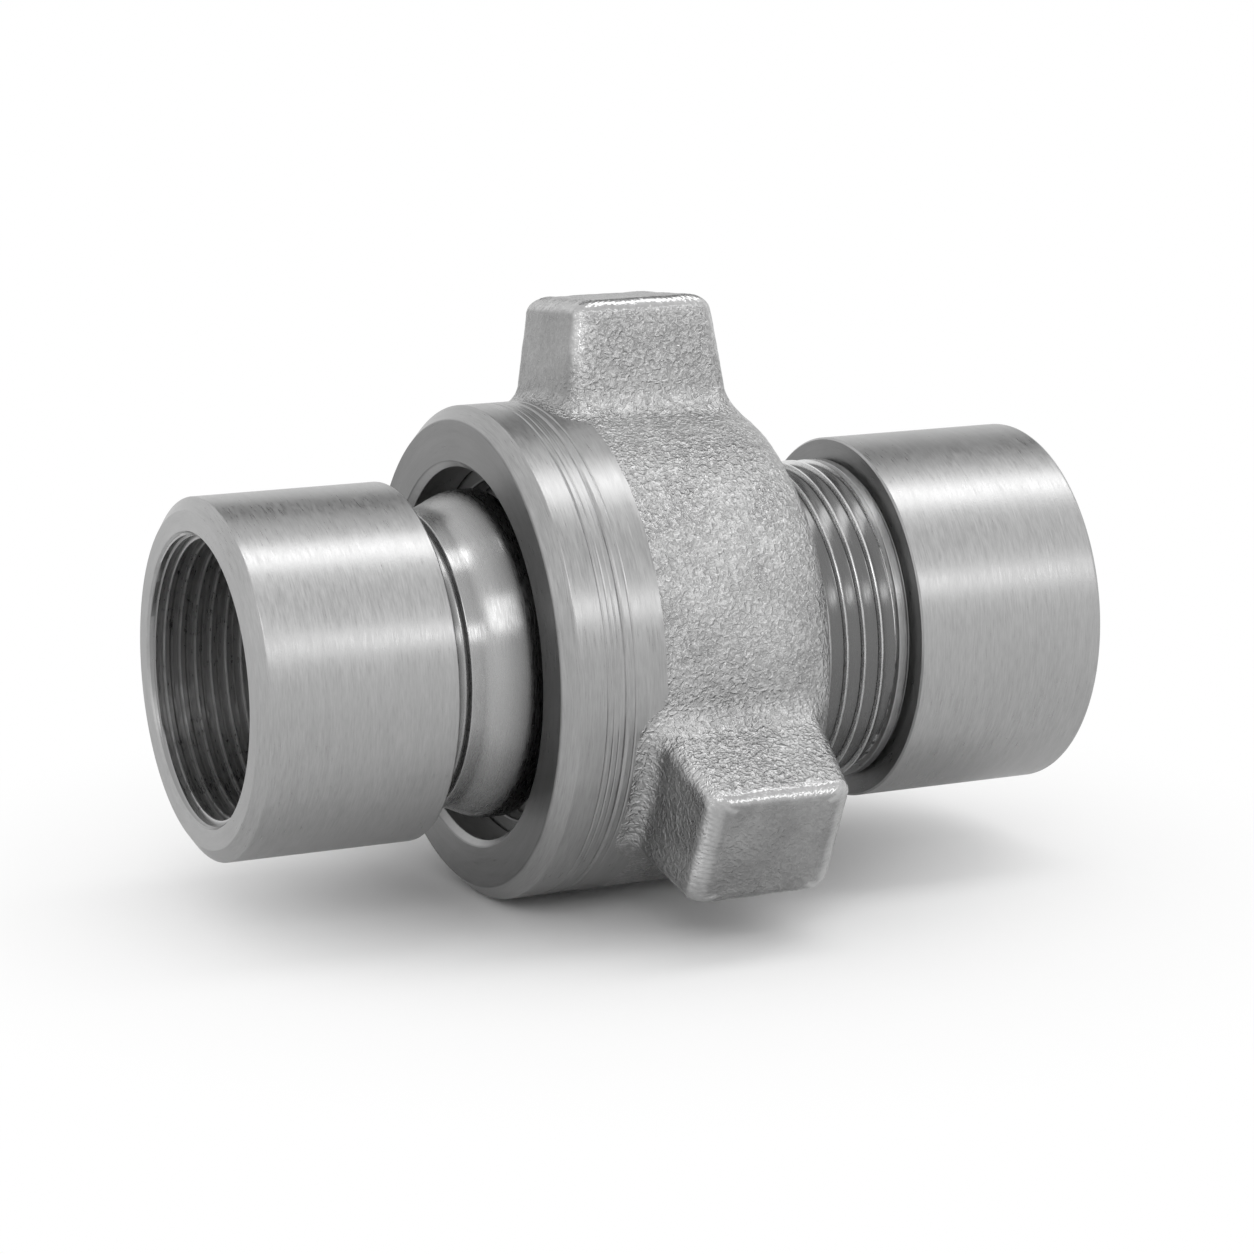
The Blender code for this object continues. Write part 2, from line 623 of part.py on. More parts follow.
def stand_on_floor(pieces, hangers_on):
    """Hang every piece from an empty that puts the footprint's middle at the origin."""
    bpy.context.view_layer.update()
    depsgraph = bpy.context.evaluated_depsgraph_get()
    corners = []
    for piece in pieces:
        corners += [Vector(corner) for corner in piece.evaluated_get(depsgraph).bound_box]
    low = Vector([min(corner[i] for corner in corners) for i in range(3)])
    high = Vector([max(corner[i] for corner in corners) for i in range(3)])
    axis = bpy.data.objects.new("union_axis", None)
    bpy.context.collection.objects.link(axis)
    axis.location = (-(low.x + high.x) / 2, -(low.y + high.y) / 2, -low.z)
    for piece in pieces + hangers_on:
        piece.parent = axis


def main():
    """Build the whole union."""
    for old in list(bpy.data.objects):
        bpy.data.objects.remove(old, do_unlink=True)
    pieces = [
        build_male_sub(steel("turned steel, male sub", 0.62, 0.32)),
        build_female_sub(steel("turned steel, female sub", 0.60, 0.32)),
        build_seal_ring(surface("black nitrile rubber", (0.02, 0.02, 0.02), 0.55, metallic=0.0)),
        build_snap_ring(steel("spring steel", 0.30, 0.42)),
    ]
    pieces += build_segments(steel("milled steel, segments", 0.45, 0.38))
    nut, wings = build_wing_nut(steel("forged steel", 0.52, 0.48))
    stand_on_floor(pieces + [nut], [wings])


main()
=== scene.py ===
# %% [markdown]
# # A hammer union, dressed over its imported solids
#
# A hammer union joins two threaded steel pipes. A wing nut is struck round
# with a hammer, and pulls the ball nose of the male sub into the seat of the
# female sub. This lesson loads the solids that the CAD step packed and gives
# each piece its fine surface: rounded edges, cut threads, tool marks and the
# raw skin of a forging. The solids stay as they are, and every piece here
# rides on the same body as the solid that it stands for.

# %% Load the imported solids
import math
from functools import partial

import bmesh
import bpy
import numpy as np
from mathutils import Matrix, Vector, noise


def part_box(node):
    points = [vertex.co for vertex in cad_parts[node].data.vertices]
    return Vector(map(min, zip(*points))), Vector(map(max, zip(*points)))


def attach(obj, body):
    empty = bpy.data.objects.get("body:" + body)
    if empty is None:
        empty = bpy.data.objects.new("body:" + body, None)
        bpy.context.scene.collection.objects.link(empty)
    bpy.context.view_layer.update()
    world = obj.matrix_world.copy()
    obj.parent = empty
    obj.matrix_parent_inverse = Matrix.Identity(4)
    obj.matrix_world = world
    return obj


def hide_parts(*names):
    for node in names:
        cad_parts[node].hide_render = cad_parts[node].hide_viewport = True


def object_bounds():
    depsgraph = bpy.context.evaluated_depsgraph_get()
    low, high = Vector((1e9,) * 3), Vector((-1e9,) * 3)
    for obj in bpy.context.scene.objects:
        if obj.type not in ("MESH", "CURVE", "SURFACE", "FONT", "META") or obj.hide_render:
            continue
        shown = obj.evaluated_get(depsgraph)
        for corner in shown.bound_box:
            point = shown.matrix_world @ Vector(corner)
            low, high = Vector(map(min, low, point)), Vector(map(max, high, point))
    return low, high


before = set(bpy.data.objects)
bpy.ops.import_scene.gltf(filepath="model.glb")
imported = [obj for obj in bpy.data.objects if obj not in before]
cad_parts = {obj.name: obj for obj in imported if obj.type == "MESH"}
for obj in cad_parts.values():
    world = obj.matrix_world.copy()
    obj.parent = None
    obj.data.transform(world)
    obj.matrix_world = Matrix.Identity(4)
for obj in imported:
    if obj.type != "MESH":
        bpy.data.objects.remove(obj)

cad_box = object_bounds()
MM = 0.001

# %% [markdown]
# All pieces are drawn about the union's own axis: x runs along it, x = 0 is
# the female sub's shoulder, and r is the distance from the axis. The place of
# that axis comes from the solids, so nothing here has to be fitted by eye.

# %% Find the union's axis in the solids
FEMALE_BODY_LENGTH = 42.8
male_low, male_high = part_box("male_sub")
female_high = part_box("female_sub")[1]
AXIS = Vector((female_high[0] - FEMALE_BODY_LENGTH * MM,
               (male_low[1] + male_high[1]) / 2,
               (male_low[2] + male_high[2]) / 2))
print("shoulder and axis at", [round(value / MM, 2) for value in AXIS], "mm")

# %% [markdown]
# The camera is the one that took the photograph, as far as fitted circles can
# tell: a long lens, a little above the union, seen from the male end's side.

# %% Set up the camera
SENSOR_WIDTH, LENS, FARTHEST_VIEW = 36.0, 119.88, 20.0
CAMERA_FROM_AXIS = Vector((-0.4143, -0.7628, 0.1812))
CAMERA_LOOK = Vector((0.4229, 0.8823, -0.2070)).normalized()
CAMERA_RIGHT = Vector((0.9018, -0.4323, 0.0)).normalized()


def add_camera():
    """Camera at the photograph's angle and distance."""
    data = bpy.data.cameras.new("camera")
    data.sensor_width = SENSOR_WIDTH
    data.lens = LENS
    data.clip_end = FARTHEST_VIEW
    camera = bpy.data.objects.new("camera", data)
    bpy.context.scene.collection.objects.link(camera)
    turn = Matrix((CAMERA_RIGHT, CAMERA_RIGHT.cross(CAMERA_LOOK), -CAMERA_LOOK)).transposed().to_4x4()
    turn.translation = AXIS + CAMERA_FROM_AXIS
    camera.matrix_world = turn
    bpy.context.scene.camera = camera
    return camera


camera = add_camera()
print("camera stands", round((camera.location - AXIS).length, 3), "m away")

# %% [markdown]
# A few small helpers wire up nodes, for materials and for Geometry Nodes
# alike. A value that is a socket is linked, and any other value is set on the
# socket. A socket knows its node tree, so sums can be written as plain calls.
# All steel here is grey, so one number makes each colour. Most of what a noise
# gives lies between 0.3 and 0.7, so a ramp over that span uses it all.

# %% Wire nodes
NOISE_LOW, NOISE_HIGH = 0.3, 0.7


def add_node(tree, kind, inputs=None, **settings):
    """New node with its settings, and its inputs set or linked."""
    node = tree.nodes.new(kind)
    for name, value in settings.items():
        setattr(node, name, value)
    for name, value in (inputs or {}).items():
        if isinstance(value, bpy.types.NodeSocket):
            tree.links.new(value, node.inputs[name])
        else:
            node.inputs[name].default_value = value
    return node


def calc(operation, first, second=0.0, third=0.0):
    """Output of a Math node, in the tree of the first socket that it is given."""
    tree = next(value.id_data for value in (first, second) if isinstance(value, bpy.types.NodeSocket))
    node = add_node(tree, "ShaderNodeMath", {0: first, 1: second, 2: third}, operation=operation)
    return node.outputs[0]


add, minus, times, over = (partial(calc, name) for name in ("ADD", "SUBTRACT", "MULTIPLY", "DIVIDE"))


def ramp(value, low, high, start=0.0, end=1.0, smooth=True):
    """Value carried from the span low-high to start-end, and held outside it."""
    node = add_node(value.id_data, "ShaderNodeMapRange", {0: value, 1: low, 2: high, 3: start, 4: end},
                    interpolation_type="SMOOTHSTEP" if smooth else "LINEAR")
    return node.outputs[0]


def noise_field(where, scale, detail, **more):
    """Output of a Noise Texture at a place."""
    inputs = {"Vector": where, "Scale": scale, "Detail": detail}
    inputs.update((name.title(), value) for name, value in more.items())
    return add_node(where.id_data, "ShaderNodeTexNoise", inputs).outputs[0]


def mix(first, second, share):
    """Two values mixed, with a share of the second."""
    return add(times(first, 1 - share), times(second, share))


def new_material(name):
    """Material with its node tree and its Principled shader."""
    material = bpy.data.materials.new(name)
    material.use_nodes = True
    return material, material.node_tree, material.node_tree.nodes["Principled BSDF"]


def paint_grey(tree, shader, tone):
    """Colour the shader with one number as a grey."""
    grey = add_node(tree, "ShaderNodeCombineColor", {0: tone, 1: tone, 2: tone})
    tree.links.new(grey.outputs[0], shader.inputs["Base Color"])


def raise_bump(tree, shader, height, distance, strength=1.0):
    """Let a height bend the shader's normals."""
    bump = add_node(tree, "ShaderNodeBump", {"Height": height, "Distance": distance, "Strength": strength})
    tree.links.new(bump.outputs[0], shader.inputs["Normal"])


print("node helpers for materials and Geometry Nodes are ready")

# %% [markdown]
# Lathe work leaves marks that run round the axis. The marks are drawn from
# three numbers at each point of the steel: the place along the axis, the
# distance from the axis, and the angle round it. Noise that changes fast along
# the first two and slowly round the angle looks like fine turning marks, both
# on the barrels and on the flat faces.

# %% Coordinates of turned steel
FACE_MARKS_SHARE = 0.83
MARK_DETAIL, MARK_ROUGHNESS = 3.0, 0.6


def lathe_coordinates(tree):
    """Sockets for the place, its part along the axis, the radius and the direction round it."""
    place = add_node(tree, "ShaderNodeTexCoord").outputs["Object"]
    local = add_node(tree, "ShaderNodeMapping", {"Vector": place, "Location": -AXIS})
    split = add_node(tree, "ShaderNodeSeparateXYZ", {0: local.outputs[0]})
    along, across, up = split.outputs
    radius = calc("SQRT", add(times(across, across), times(up, up)))
    return local.outputs[0], along, radius, over(across, radius), over(up, radius)


def turning_marks(tree, along, radius, cosine, sine, fineness, spread):
    """Noise that is fine along the axis and long round it."""
    path = add(along, times(radius, FACE_MARKS_SHARE))
    where = add_node(tree, "ShaderNodeCombineXYZ", {
        0: times(path, fineness), 1: times(cosine, spread), 2: times(sine, spread),
    })
    return noise_field(where.outputs[0], 1.0, MARK_DETAIL, roughness=MARK_ROUGHNESS)


print("turning marks move on along the axis, and by", FACE_MARKS_SHARE, "of that along a face")

# %% [markdown]
# Turned steel is bright. Its highlights stretch along the axis, across the tool marks, so the shader is
# anisotropic and takes its direction from each piece's own UV map, whose first axis runs round the piece.
# Fine and coarse marks are mixed, and soft clouds of handling lie over both. Where the photograph shows a
# darker stretch, a band (from, to, share, share) fades the shade along the axis: this is painted shade. On a
# thread, the `crest` attribute tells the root from the crest, and the root is painted darker: painted shade
# in the thread's hollow.

# %% Turned steel
FINE_SPREAD, COARSE_SPREAD, COARSE_STEP, COARSE_SHARE = 12.0, 3.0, 5, 0.3
CLOUD_SCALE, CLOUD_TONE, CLOUD_SHARE = 30.0, 0.008, 0.3
SMOOTHER, ROUGHER = 0.09, 0.11
CLOUD_LOW, FINE_LOW, FINE_HIGH = 0.35, 0.35, 0.65
STRETCH, ACROSS_THE_MARKS = 0.55, 0.25


def turned_steel(name, shade, roughness, mark_depth, fineness=3200.0, contrast=0.1, root_shade=None,
                 root_span=(0.3, 0.95), painted_shade_bands=()):
    """Steel with fine marks round the axis, with painted shade in bands along it and in a thread's root."""
    material, tree, shader = new_material(name)
    local, along, radius, cosine, sine = lathe_coordinates(tree)
    fine = turning_marks(tree, along, radius, cosine, sine, fineness, FINE_SPREAD)
    coarse = turning_marks(tree, along, radius, cosine, sine, fineness / COARSE_STEP, COARSE_SPREAD)
    cloud = noise_field(local, CLOUD_SCALE, MARK_DETAIL)
    marks = mix(fine, coarse, COARSE_SHARE)
    tone = add(ramp(marks, NOISE_LOW, NOISE_HIGH, shade * (1 - contrast), shade * (1 + contrast), False),
               ramp(cloud, CLOUD_LOW, NOISE_HIGH, -CLOUD_TONE, CLOUD_TONE))
    # Painted shade: each band darkens the steel along a stretch of the axis.
    for start, end, first, last in painted_shade_bands:
        tone = times(tone, ramp(along, start * MM, end * MM, first, last))
    # Painted shade: the root of a thread is darker than its crest.
    if root_shade is not None:
        crest = add_node(tree, "ShaderNodeAttribute", attribute_name="crest").outputs["Fac"]
        tone = times(tone, ramp(crest, root_span[0], root_span[1], root_shade, 1.0))
    paint_grey(tree, shader, tone)
    tree.links.new(ramp(mix(fine, cloud, CLOUD_SHARE), FINE_LOW, FINE_HIGH,
                        roughness - SMOOTHER, roughness + ROUGHER, False), shader.inputs["Roughness"])
    raise_bump(tree, shader, marks, mark_depth)
    tangent = add_node(tree, "ShaderNodeTangent", direction_type="UV_MAP", uv_map="turning")
    tree.links.new(tangent.outputs[0], shader.inputs["Tangent"])
    shader.inputs["Metallic"].default_value = 1.0
    shader.inputs["Anisotropic"].default_value = STRETCH
    shader.inputs["Anisotropic Rotation"].default_value = ACROSS_THE_MARKS
    return material


sub_steel = turned_steel("turned steel of the subs", 0.40, 0.36, 0.00003, contrast=0.16)
# Painted shade: the drum steel darkens on the neck, in the shadow of the body's shoulder, and towards the
# drum's back, in the shade of the nut's mouth.
drum_steel = turned_steel("burnished steel of the male sub with painted shade", 0.40, 0.28, 0.00001, contrast=0.08,
                          painted_shade_bands=((-99.4, -97.0, 0.25, 1.0), (-92.0, -84.0, 1.0, 0.35)))
# Painted highlight and shade: the thread steel is bright on the crests and flanks, and its root_shade darkens
# the roots.
thread_steel = turned_steel("cut steel of the threads", 0.78, 0.26, 0.000006, contrast=0.05, root_shade=0.2,
                            root_span=(0.05, 0.5))
# Painted shade: a dark steel for the relief groove and the shoulder's face, which lie in shade.
shaded_relief_steel = turned_steel("turned steel of the relief with painted shade", 0.22, 0.36, 0.00002, contrast=0.16)
# Painted shade: the socket steel's root_shade darkens the roots of the pipe thread.
socket_steel = turned_steel("cut steel of the sockets", 0.56, 0.32, 0.000004, contrast=0.05, root_shade=0.5)
print("made", [steel.name for steel in (sub_steel, drum_steel, thread_steel, shaded_relief_steel, socket_steel)])

# %% [markdown]
# Every turned piece starts as an outline of (x, r) corners in millimetres,
# each with the radius that breaks its edge. A sharp corner catches no light,
# so each one becomes a short arc with a held point on either side, which keeps
# the shading of the flats next to it flat.

# %% Break the edges of an outline
LARGEST_REACH_SHARE, LEAST_REACH, NEARLY_STRAIGHT, HOLD_SHARE = 0.42, 0.004, 1.5, 1.15


def soften(corners, steps=4):
    """Outline in which each (x, r, edge) corner is a small arc."""
    points = []
    for index, (x, r, edge) in enumerate(corners):
        here = Vector((x, r))
        if edge <= 0 or index in (0, len(corners) - 1):
            points.append(here)
            continue
        back = Vector(corners[index - 1][:2]) - here
        ahead = Vector(corners[index + 1][:2]) - here
        half = back.angle(ahead) / 2
        reach = min(edge / math.tan(half), LARGEST_REACH_SHARE * min(back.length, ahead.length))
        back.normalize()
        ahead.normalize()
        if reach < LEAST_REACH or half > NEARLY_STRAIGHT:
            points.append(here)
            continue
        radius = reach * math.tan(half)
        centre = here + (back + ahead).normalized() * (radius / math.sin(half))
        first = here + back * reach - centre
        sweep = first.angle_signed(here + ahead * reach - centre)
        points.append(here + back * reach * HOLD_SHARE)
        for step in range(steps + 1):
            angle = -sweep * step / steps
            points.append(centre + Matrix.Rotation(angle, 2) @ first)
        points.append(here + ahead * reach * HOLD_SHARE)
    return [(point.x, point.y) for point in points]


print("a softened square corner has", len(soften([(0, 1, 0), (0, 2, 0.3), (1, 2, 0)])), "points")

# %% [markdown]
# A turned piece is its outline spun round the axis. The grid keeps a doubled
# column where the spin closes, so the UV map has a clean end there, and the
# doubles are merged afterwards.

# %% Spin an outline
STEPS = 256


def spun_grid(outline, steps=STEPS, start=0.0, end=math.tau):
    """Points of an outline spun round the axis, as rows of columns, in metres."""
    angles = np.linspace(start, end, steps + 1)
    profile = np.array(outline) * MM
    x = np.repeat(profile[:, 0:1], steps + 1, axis=1)
    y = profile[:, 1:2] * np.cos(angles)[None, :]
    z = profile[:, 1:2] * np.sin(angles)[None, :]
    return np.stack([x, y, z], axis=2)


def grid_mesh(name, grid, values=None):
    """Mesh of a grid of points, with the UV map that the tool marks follow."""
    rows, columns = grid.shape[:2]
    index = np.arange(rows * columns).reshape(rows, columns)
    quads = np.stack([index[:-1, :-1], index[:-1, 1:], index[1:, 1:], index[1:, :-1]], axis=-1).reshape(-1, 4)
    mesh = bpy.data.meshes.new(name)
    mesh.from_pydata(grid.reshape(-1, 3).tolist(), [], quads.tolist())
    u, v = np.meshgrid(np.linspace(0, 1, columns), np.linspace(0, 1, rows))
    uv = np.stack([u, v], axis=-1).reshape(-1, 2)[quads.reshape(-1)]
    mesh.uv_layers.new(name="turning").data.foreach_set("uv", uv.astype(np.float32).ravel())
    for key, field in (values or {}).items():
        layer = mesh.attributes.new(key, "FLOAT", "POINT")
        layer.data.foreach_set("value", np.asarray(field, dtype=np.float32).ravel())
    return mesh


print("one spun ring has", spun_grid([(0, 10), (1, 10)]).shape[1] - 1, "facets")

# %% [markdown]
# A piece is put together from such grids and from the wound threads below.
# Their shared edges lie on the same points, so merging doubles closes the
# piece, and the normals are then turned outwards. Last of all the mesh is
# moved to its place, so that its object can stay at the origin.

# %% Join grids into one closed piece
MERGE_DISTANCE, DEGENERATE_LENGTH = 2e-6, 1e-7
SHARP_ANGLE = math.radians(34)


def join_piece(name, parts, materials, roughen=None):
    """One closed object from (mesh, material index) parts that share their edges."""
    bm = bmesh.new()
    for mesh, slot in parts:
        known = len(bm.faces)
        bm.from_mesh(mesh)
        bm.faces.ensure_lookup_table()
        if slot is not None:
            for number in range(known, len(bm.faces)):
                bm.faces[number].material_index = slot
        bpy.data.meshes.remove(mesh)
    bmesh.ops.remove_doubles(bm, verts=bm.verts, dist=MERGE_DISTANCE)
    bmesh.ops.dissolve_degenerate(bm, edges=bm.edges, dist=DEGENERATE_LENGTH)
    bmesh.ops.recalc_face_normals(bm, faces=bm.faces)
    if roughen:
        roughen(bm)
    open_edges = sum(1 for edge in bm.edges if len(edge.link_faces) != 2)
    triangles = sum(len(face.verts) - 2 for face in bm.faces)
    bmesh.ops.translate(bm, verts=bm.verts, vec=AXIS)
    mesh = bpy.data.meshes.new(name)
    bm.to_mesh(mesh)
    bm.free()
    mesh.shade_smooth()
    mesh.set_sharp_from_angle(angle=SHARP_ANGLE)
    for material in materials:
        mesh.materials.append(material)
    piece = bpy.data.objects.new(name, mesh)
    bpy.context.scene.collection.objects.link(piece)
    print(name, "has", triangles, "triangles and", open_edges, "open edges")
    return piece


def finish_piece(piece, body, node):
    """Let a piece ride on its body and stand for its solid."""
    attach(piece, body)
    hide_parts(node)


print("pieces stand at", [round(value / MM, 1) for value in AXIS], "mm")

# %% [markdown]
# A screw thread is the same small outline wound round and round, one pitch
# further for each turn. That is a rule, so Geometry Nodes make it: a grid has
# one row for each point of the outline in each turn and one column for each
# step round. The tree bends the grid into a helix, cuts it off square at both
# ends, where the rows collapse into plain rings, and welds the seam. It ends
# by realizing instances and setting a material, because an export drops what
# is only an instance. All the threads on the union come from this one tree,
# with other sizes.

# %% Build the thread tree
END_SNAP = 0.00002
THREAD_INPUTS = (
    ("Outline Points", "NodeSocketInt", 8), ("Turns", "NodeSocketInt", 4), ("Steps", "NodeSocketInt", STEPS),
    ("Pitch", "NodeSocketFloat", 0.004), ("First Turn", "NodeSocketFloat", 0.0),
    ("Crest Radius", "NodeSocketFloat", 0.03), ("Side", "NodeSocketFloat", 1.0),
    ("Depth", "NodeSocketFloat", 0.001), ("Depth Share At Start", "NodeSocketFloat", 1.0),
    ("Depth Share At End", "NodeSocketFloat", 1.0), ("Start Place", "NodeSocketFloat", 0.0),
    ("Start Radius", "NodeSocketFloat", 0.03), ("End Place", "NodeSocketFloat", 0.01),
    ("End Radius", "NodeSocketFloat", 0.03), ("Material", "NodeSocketMaterial", None),
)


def thread_tree():
    """Geometry Nodes that wind an outline of (offset, rise) points into a thread."""
    tree = bpy.data.node_groups.new("wind a thread", "GeometryNodeTree")
    tree.interface.new_socket("Outline", in_out="INPUT", socket_type="NodeSocketGeometry")
    for name, kind, value in THREAD_INPUTS:
        socket = tree.interface.new_socket(name, in_out="INPUT", socket_type=kind)
        if value is not None:
            socket.default_value = value
    tree.interface.new_socket("Thread", in_out="OUTPUT", socket_type="NodeSocketGeometry")
    given = add_node(tree, "NodeGroupInput").outputs
    rows = times(given["Outline Points"], given["Turns"])
    grid = add_node(tree, "GeometryNodeMeshGrid", {
        "Size X": 1.0, "Size Y": 1.0, "Vertices X": rows, "Vertices Y": add(given["Steps"], 1.0),
    }).outputs[0]
    here = add_node(tree, "GeometryNodeInputPosition").outputs[0]
    flat = add_node(tree, "ShaderNodeSeparateXYZ", {0: here})
    row = calc("ROUND", times(add(flat.outputs[0], 0.5), minus(rows, 1.0)))
    share = over(calc("ROUND", times(add(flat.outputs[1], 0.5), given["Steps"])), given["Steps"])
    turn = calc("FLOOR", over(add(row, 0.5), given["Outline Points"]))
    spot = minus(row, times(turn, given["Outline Points"]))
    outline = add_node(tree, "GeometryNodeSampleIndex", {
        "Geometry": given["Outline"], "Value": here, "Index": spot,
    }, data_type="FLOAT_VECTOR")
    offset, rise = add_node(tree, "ShaderNodeSeparateXYZ", {0: outline.outputs[0]}).outputs[:2]
    place = add(calc("MULTIPLY_ADD", add(turn, share), given["Pitch"], given["First Turn"]), offset)
    depth_share = add_node(tree, "ShaderNodeMapRange", {
        0: place, 1: given["Start Place"], 2: given["End Place"],
        3: given["Depth Share At Start"], 4: given["Depth Share At End"],
    }).outputs[0]
    below = times(times(given["Depth"], depth_share), minus(1.0, rise))
    height = minus(times(given["Side"], given["Crest Radius"]), below)
    from_start = add(times(given["Side"], given["Start Radius"]), minus(place, given["Start Place"]))
    from_end = add(times(given["Side"], given["End Radius"]), minus(given["End Place"], place))
    height = calc("MINIMUM", height, calc("MINIMUM", from_start, from_end))
    radius = times(height, given["Side"])
    is_before = calc("LESS_THAN", place, add(given["Start Place"], END_SNAP))
    is_after = calc("GREATER_THAN", place, minus(given["End Place"], END_SNAP))

    def choose(test, when_no, when_yes):
        return add_node(tree, "GeometryNodeSwitch", {"Switch": test, "False": when_no, "True": when_yes},
                        input_type="FLOAT").outputs[0]

    place = choose(is_before, choose(is_after, place, given["End Place"]), given["Start Place"])
    radius = choose(is_before, choose(is_after, radius, given["End Radius"]), given["Start Radius"])
    angle = times(share, math.tau)
    bent = add_node(tree, "ShaderNodeCombineXYZ", {
        0: place, 1: times(radius, calc("COSINE", angle)), 2: times(radius, calc("SINE", angle)),
    }).outputs[0]
    unrolled = add_node(tree, "ShaderNodeCombineXYZ", {0: share, 1: over(row, rows), 2: 0.0})
    shape = add_node(tree, "GeometryNodeStoreNamedAttribute", {
        "Geometry": grid, "Name": "turning", "Value": unrolled.outputs[0],
    }, data_type="FLOAT2", domain="CORNER").outputs[0]
    shape = add_node(tree, "GeometryNodeStoreNamedAttribute", {
        "Geometry": shape, "Name": "crest", "Value": rise,
    }, data_type="FLOAT", domain="POINT").outputs[0]
    shape = add_node(tree, "GeometryNodeSetPosition", {"Geometry": shape, "Position": bent}).outputs[0]
    shape = add_node(tree, "GeometryNodeMergeByDistance", {
        "Geometry": shape, "Distance": MERGE_DISTANCE,
    }).outputs[0]
    shape = add_node(tree, "GeometryNodeRealizeInstances", {"Geometry": shape}).outputs[0]
    shape = add_node(tree, "GeometryNodeSetMaterial", {
        "Geometry": shape, "Material": given["Material"],
    }).outputs[0]
    add_node(tree, "NodeGroupOutput", {0: shape})
    return tree


winding = thread_tree()
print("the thread tree has", len(winding.nodes), "nodes")

# %% [markdown]
# The outline of one pitch is a short chain of points, each with its offset
# along the axis and its rise, from 0 in the root to 1 on the crest. The union's
# own thread has thin crests with a faint hollow between their edges, and wide
# roots. The pipe thread has a pointed ridge with a weaker one after it.

# %% Wind a thread
SPARE_TURNS = 2


def wind(outline, start, end, pitch, first_turn, steps=STEPS, **sizes):
    """Plain mesh of a thread between (place, radius) start and end, in millimetres."""
    chain = bpy.data.meshes.new("one pitch")
    chain.from_pydata([(offset * MM, rise, 0.0) for offset, rise in outline],
                      [(i, i + 1) for i in range(len(outline) - 1)], [])
    carrier = bpy.data.objects.new("one pitch", chain)
    bpy.context.scene.collection.objects.link(carrier)
    modifier = carrier.modifiers.new("wind", "NODES")
    modifier.node_group = winding
    lead = math.floor((start[0] - first_turn) / pitch) - SPARE_TURNS
    turns = math.ceil((end[0] - first_turn) / pitch) + SPARE_TURNS - lead
    values = {
        "Outline Points": len(outline), "Turns": turns, "Steps": steps, "Pitch": pitch * MM,
        "First Turn": (first_turn + lead * pitch) * MM, "Start Place": start[0] * MM,
        "Start Radius": start[1] * MM, "End Place": end[0] * MM, "End Radius": end[1] * MM,
    }
    values.update((name.replace("_", " ").title(), value) for name, value in sizes.items())
    for item in winding.interface.items_tree:
        if item.name in values:
            modifier[item.identifier] = values[item.name]
    bpy.context.view_layer.update()
    wound = carrier.evaluated_get(bpy.context.evaluated_depsgraph_get())
    mesh = bpy.data.meshes.new_from_object(wound)
    mesh.materials.clear()
    bpy.data.objects.remove(carrier)
    bpy.data.meshes.remove(chain)
    return mesh


UNION_OUTLINE = ((-0.64, 0.0), (-0.42, 0.1), (-0.26, 0.9), (-0.19, 1.0), (0.0, 0.86),
                 (0.19, 1.0), (0.26, 0.9), (0.42, 0.1), (0.64, 0.0), (2.0, 0.03))
PIPE_OUTLINE = ((-0.45, 0.0), (-0.3, 0.5), (-0.13, 0.95), (0.13, 0.95), (0.3, 0.5),
                (0.45, 0.0), (1.3, 0.02), (1.52, 0.45), (1.78, 0.45), (2.0, 0.02))
trial = wind(UNION_OUTLINE, (0.0, 10.0), (8.0, 10.0), 4.0, 0.0, crest_radius=0.011, depth=0.001)
print("a trial thread has", len(trial.polygons), "faces")
bpy.data.meshes.remove(trial)

# %% [markdown]
# ## Pipe sockets
# Each sub ends in a socket with a tapered pipe thread. The tap goes less deep
# further in, so the grooves fade out towards the bottom of the socket. The
# thread is finer and more pointed than the union's own.

# %% Pipe thread of a socket
PIPE_PITCH, PIPE_DEPTH, FADED_SHARE = 3.3, 1.2, 0.25
PIPE_START, PIPE_END = 0.5, 35.5
SOCKET_RADIUS, SOCKET_MOUTH, SOCKET_DEPTH, SOCKET_CONE = 28.0, 29.4, 38.0, 5.8
BORE_RADIUS, MOUTH_EDGE = 22.2, 29.75


def pipe_thread(end_x, inward):
    """Wound pipe thread of a socket whose mouth is at end_x."""
    mouth = (end_x + inward * PIPE_START, SOCKET_MOUTH)
    bottom = (end_x + inward * PIPE_END, SOCKET_RADIUS)
    start, end = (mouth, bottom) if inward > 0 else (bottom, mouth)
    fade = (1.0, FADED_SHARE) if inward > 0 else (FADED_SHARE, 1.0)
    return wind(PIPE_OUTLINE, start, end, PIPE_PITCH, end_x, side=-1.0, crest_radius=SOCKET_RADIUS * MM,
                depth=PIPE_DEPTH * MM, depth_share_at_start=fade[0], depth_share_at_end=fade[1])


def socket_corners(end_x, inward):
    """Corners from the bottom of the pipe thread to the flow bore."""
    return [
        (end_x + inward * PIPE_END, SOCKET_RADIUS, 0),
        (end_x + inward * SOCKET_DEPTH, SOCKET_RADIUS, 0.5),
        (end_x + inward * (SOCKET_DEPTH + SOCKET_CONE), BORE_RADIUS, 0.4),
    ]


print("pipe thread pitch", PIPE_PITCH, "mm")

# %% [markdown]
# ## Male sub
# One solid of steel: the socket end, a neck, a drum whose narrow land flares up to a collar in the nut's
# mouth, and, hidden in the nut, the shank, the flange that the retainer pulls on and the ball nose. It is one
# outline spun round the axis, with the wound pipe thread welded in. Each corner of such an outline is (x, r,
# edge radius). The drum has been polished by handling, so its faces and the neck take a steel of their own.
# That steel is also painted darker on the neck, where the body's shoulder shades it, and towards the drum's
# back, in the shade of the nut's mouth: painted shade.

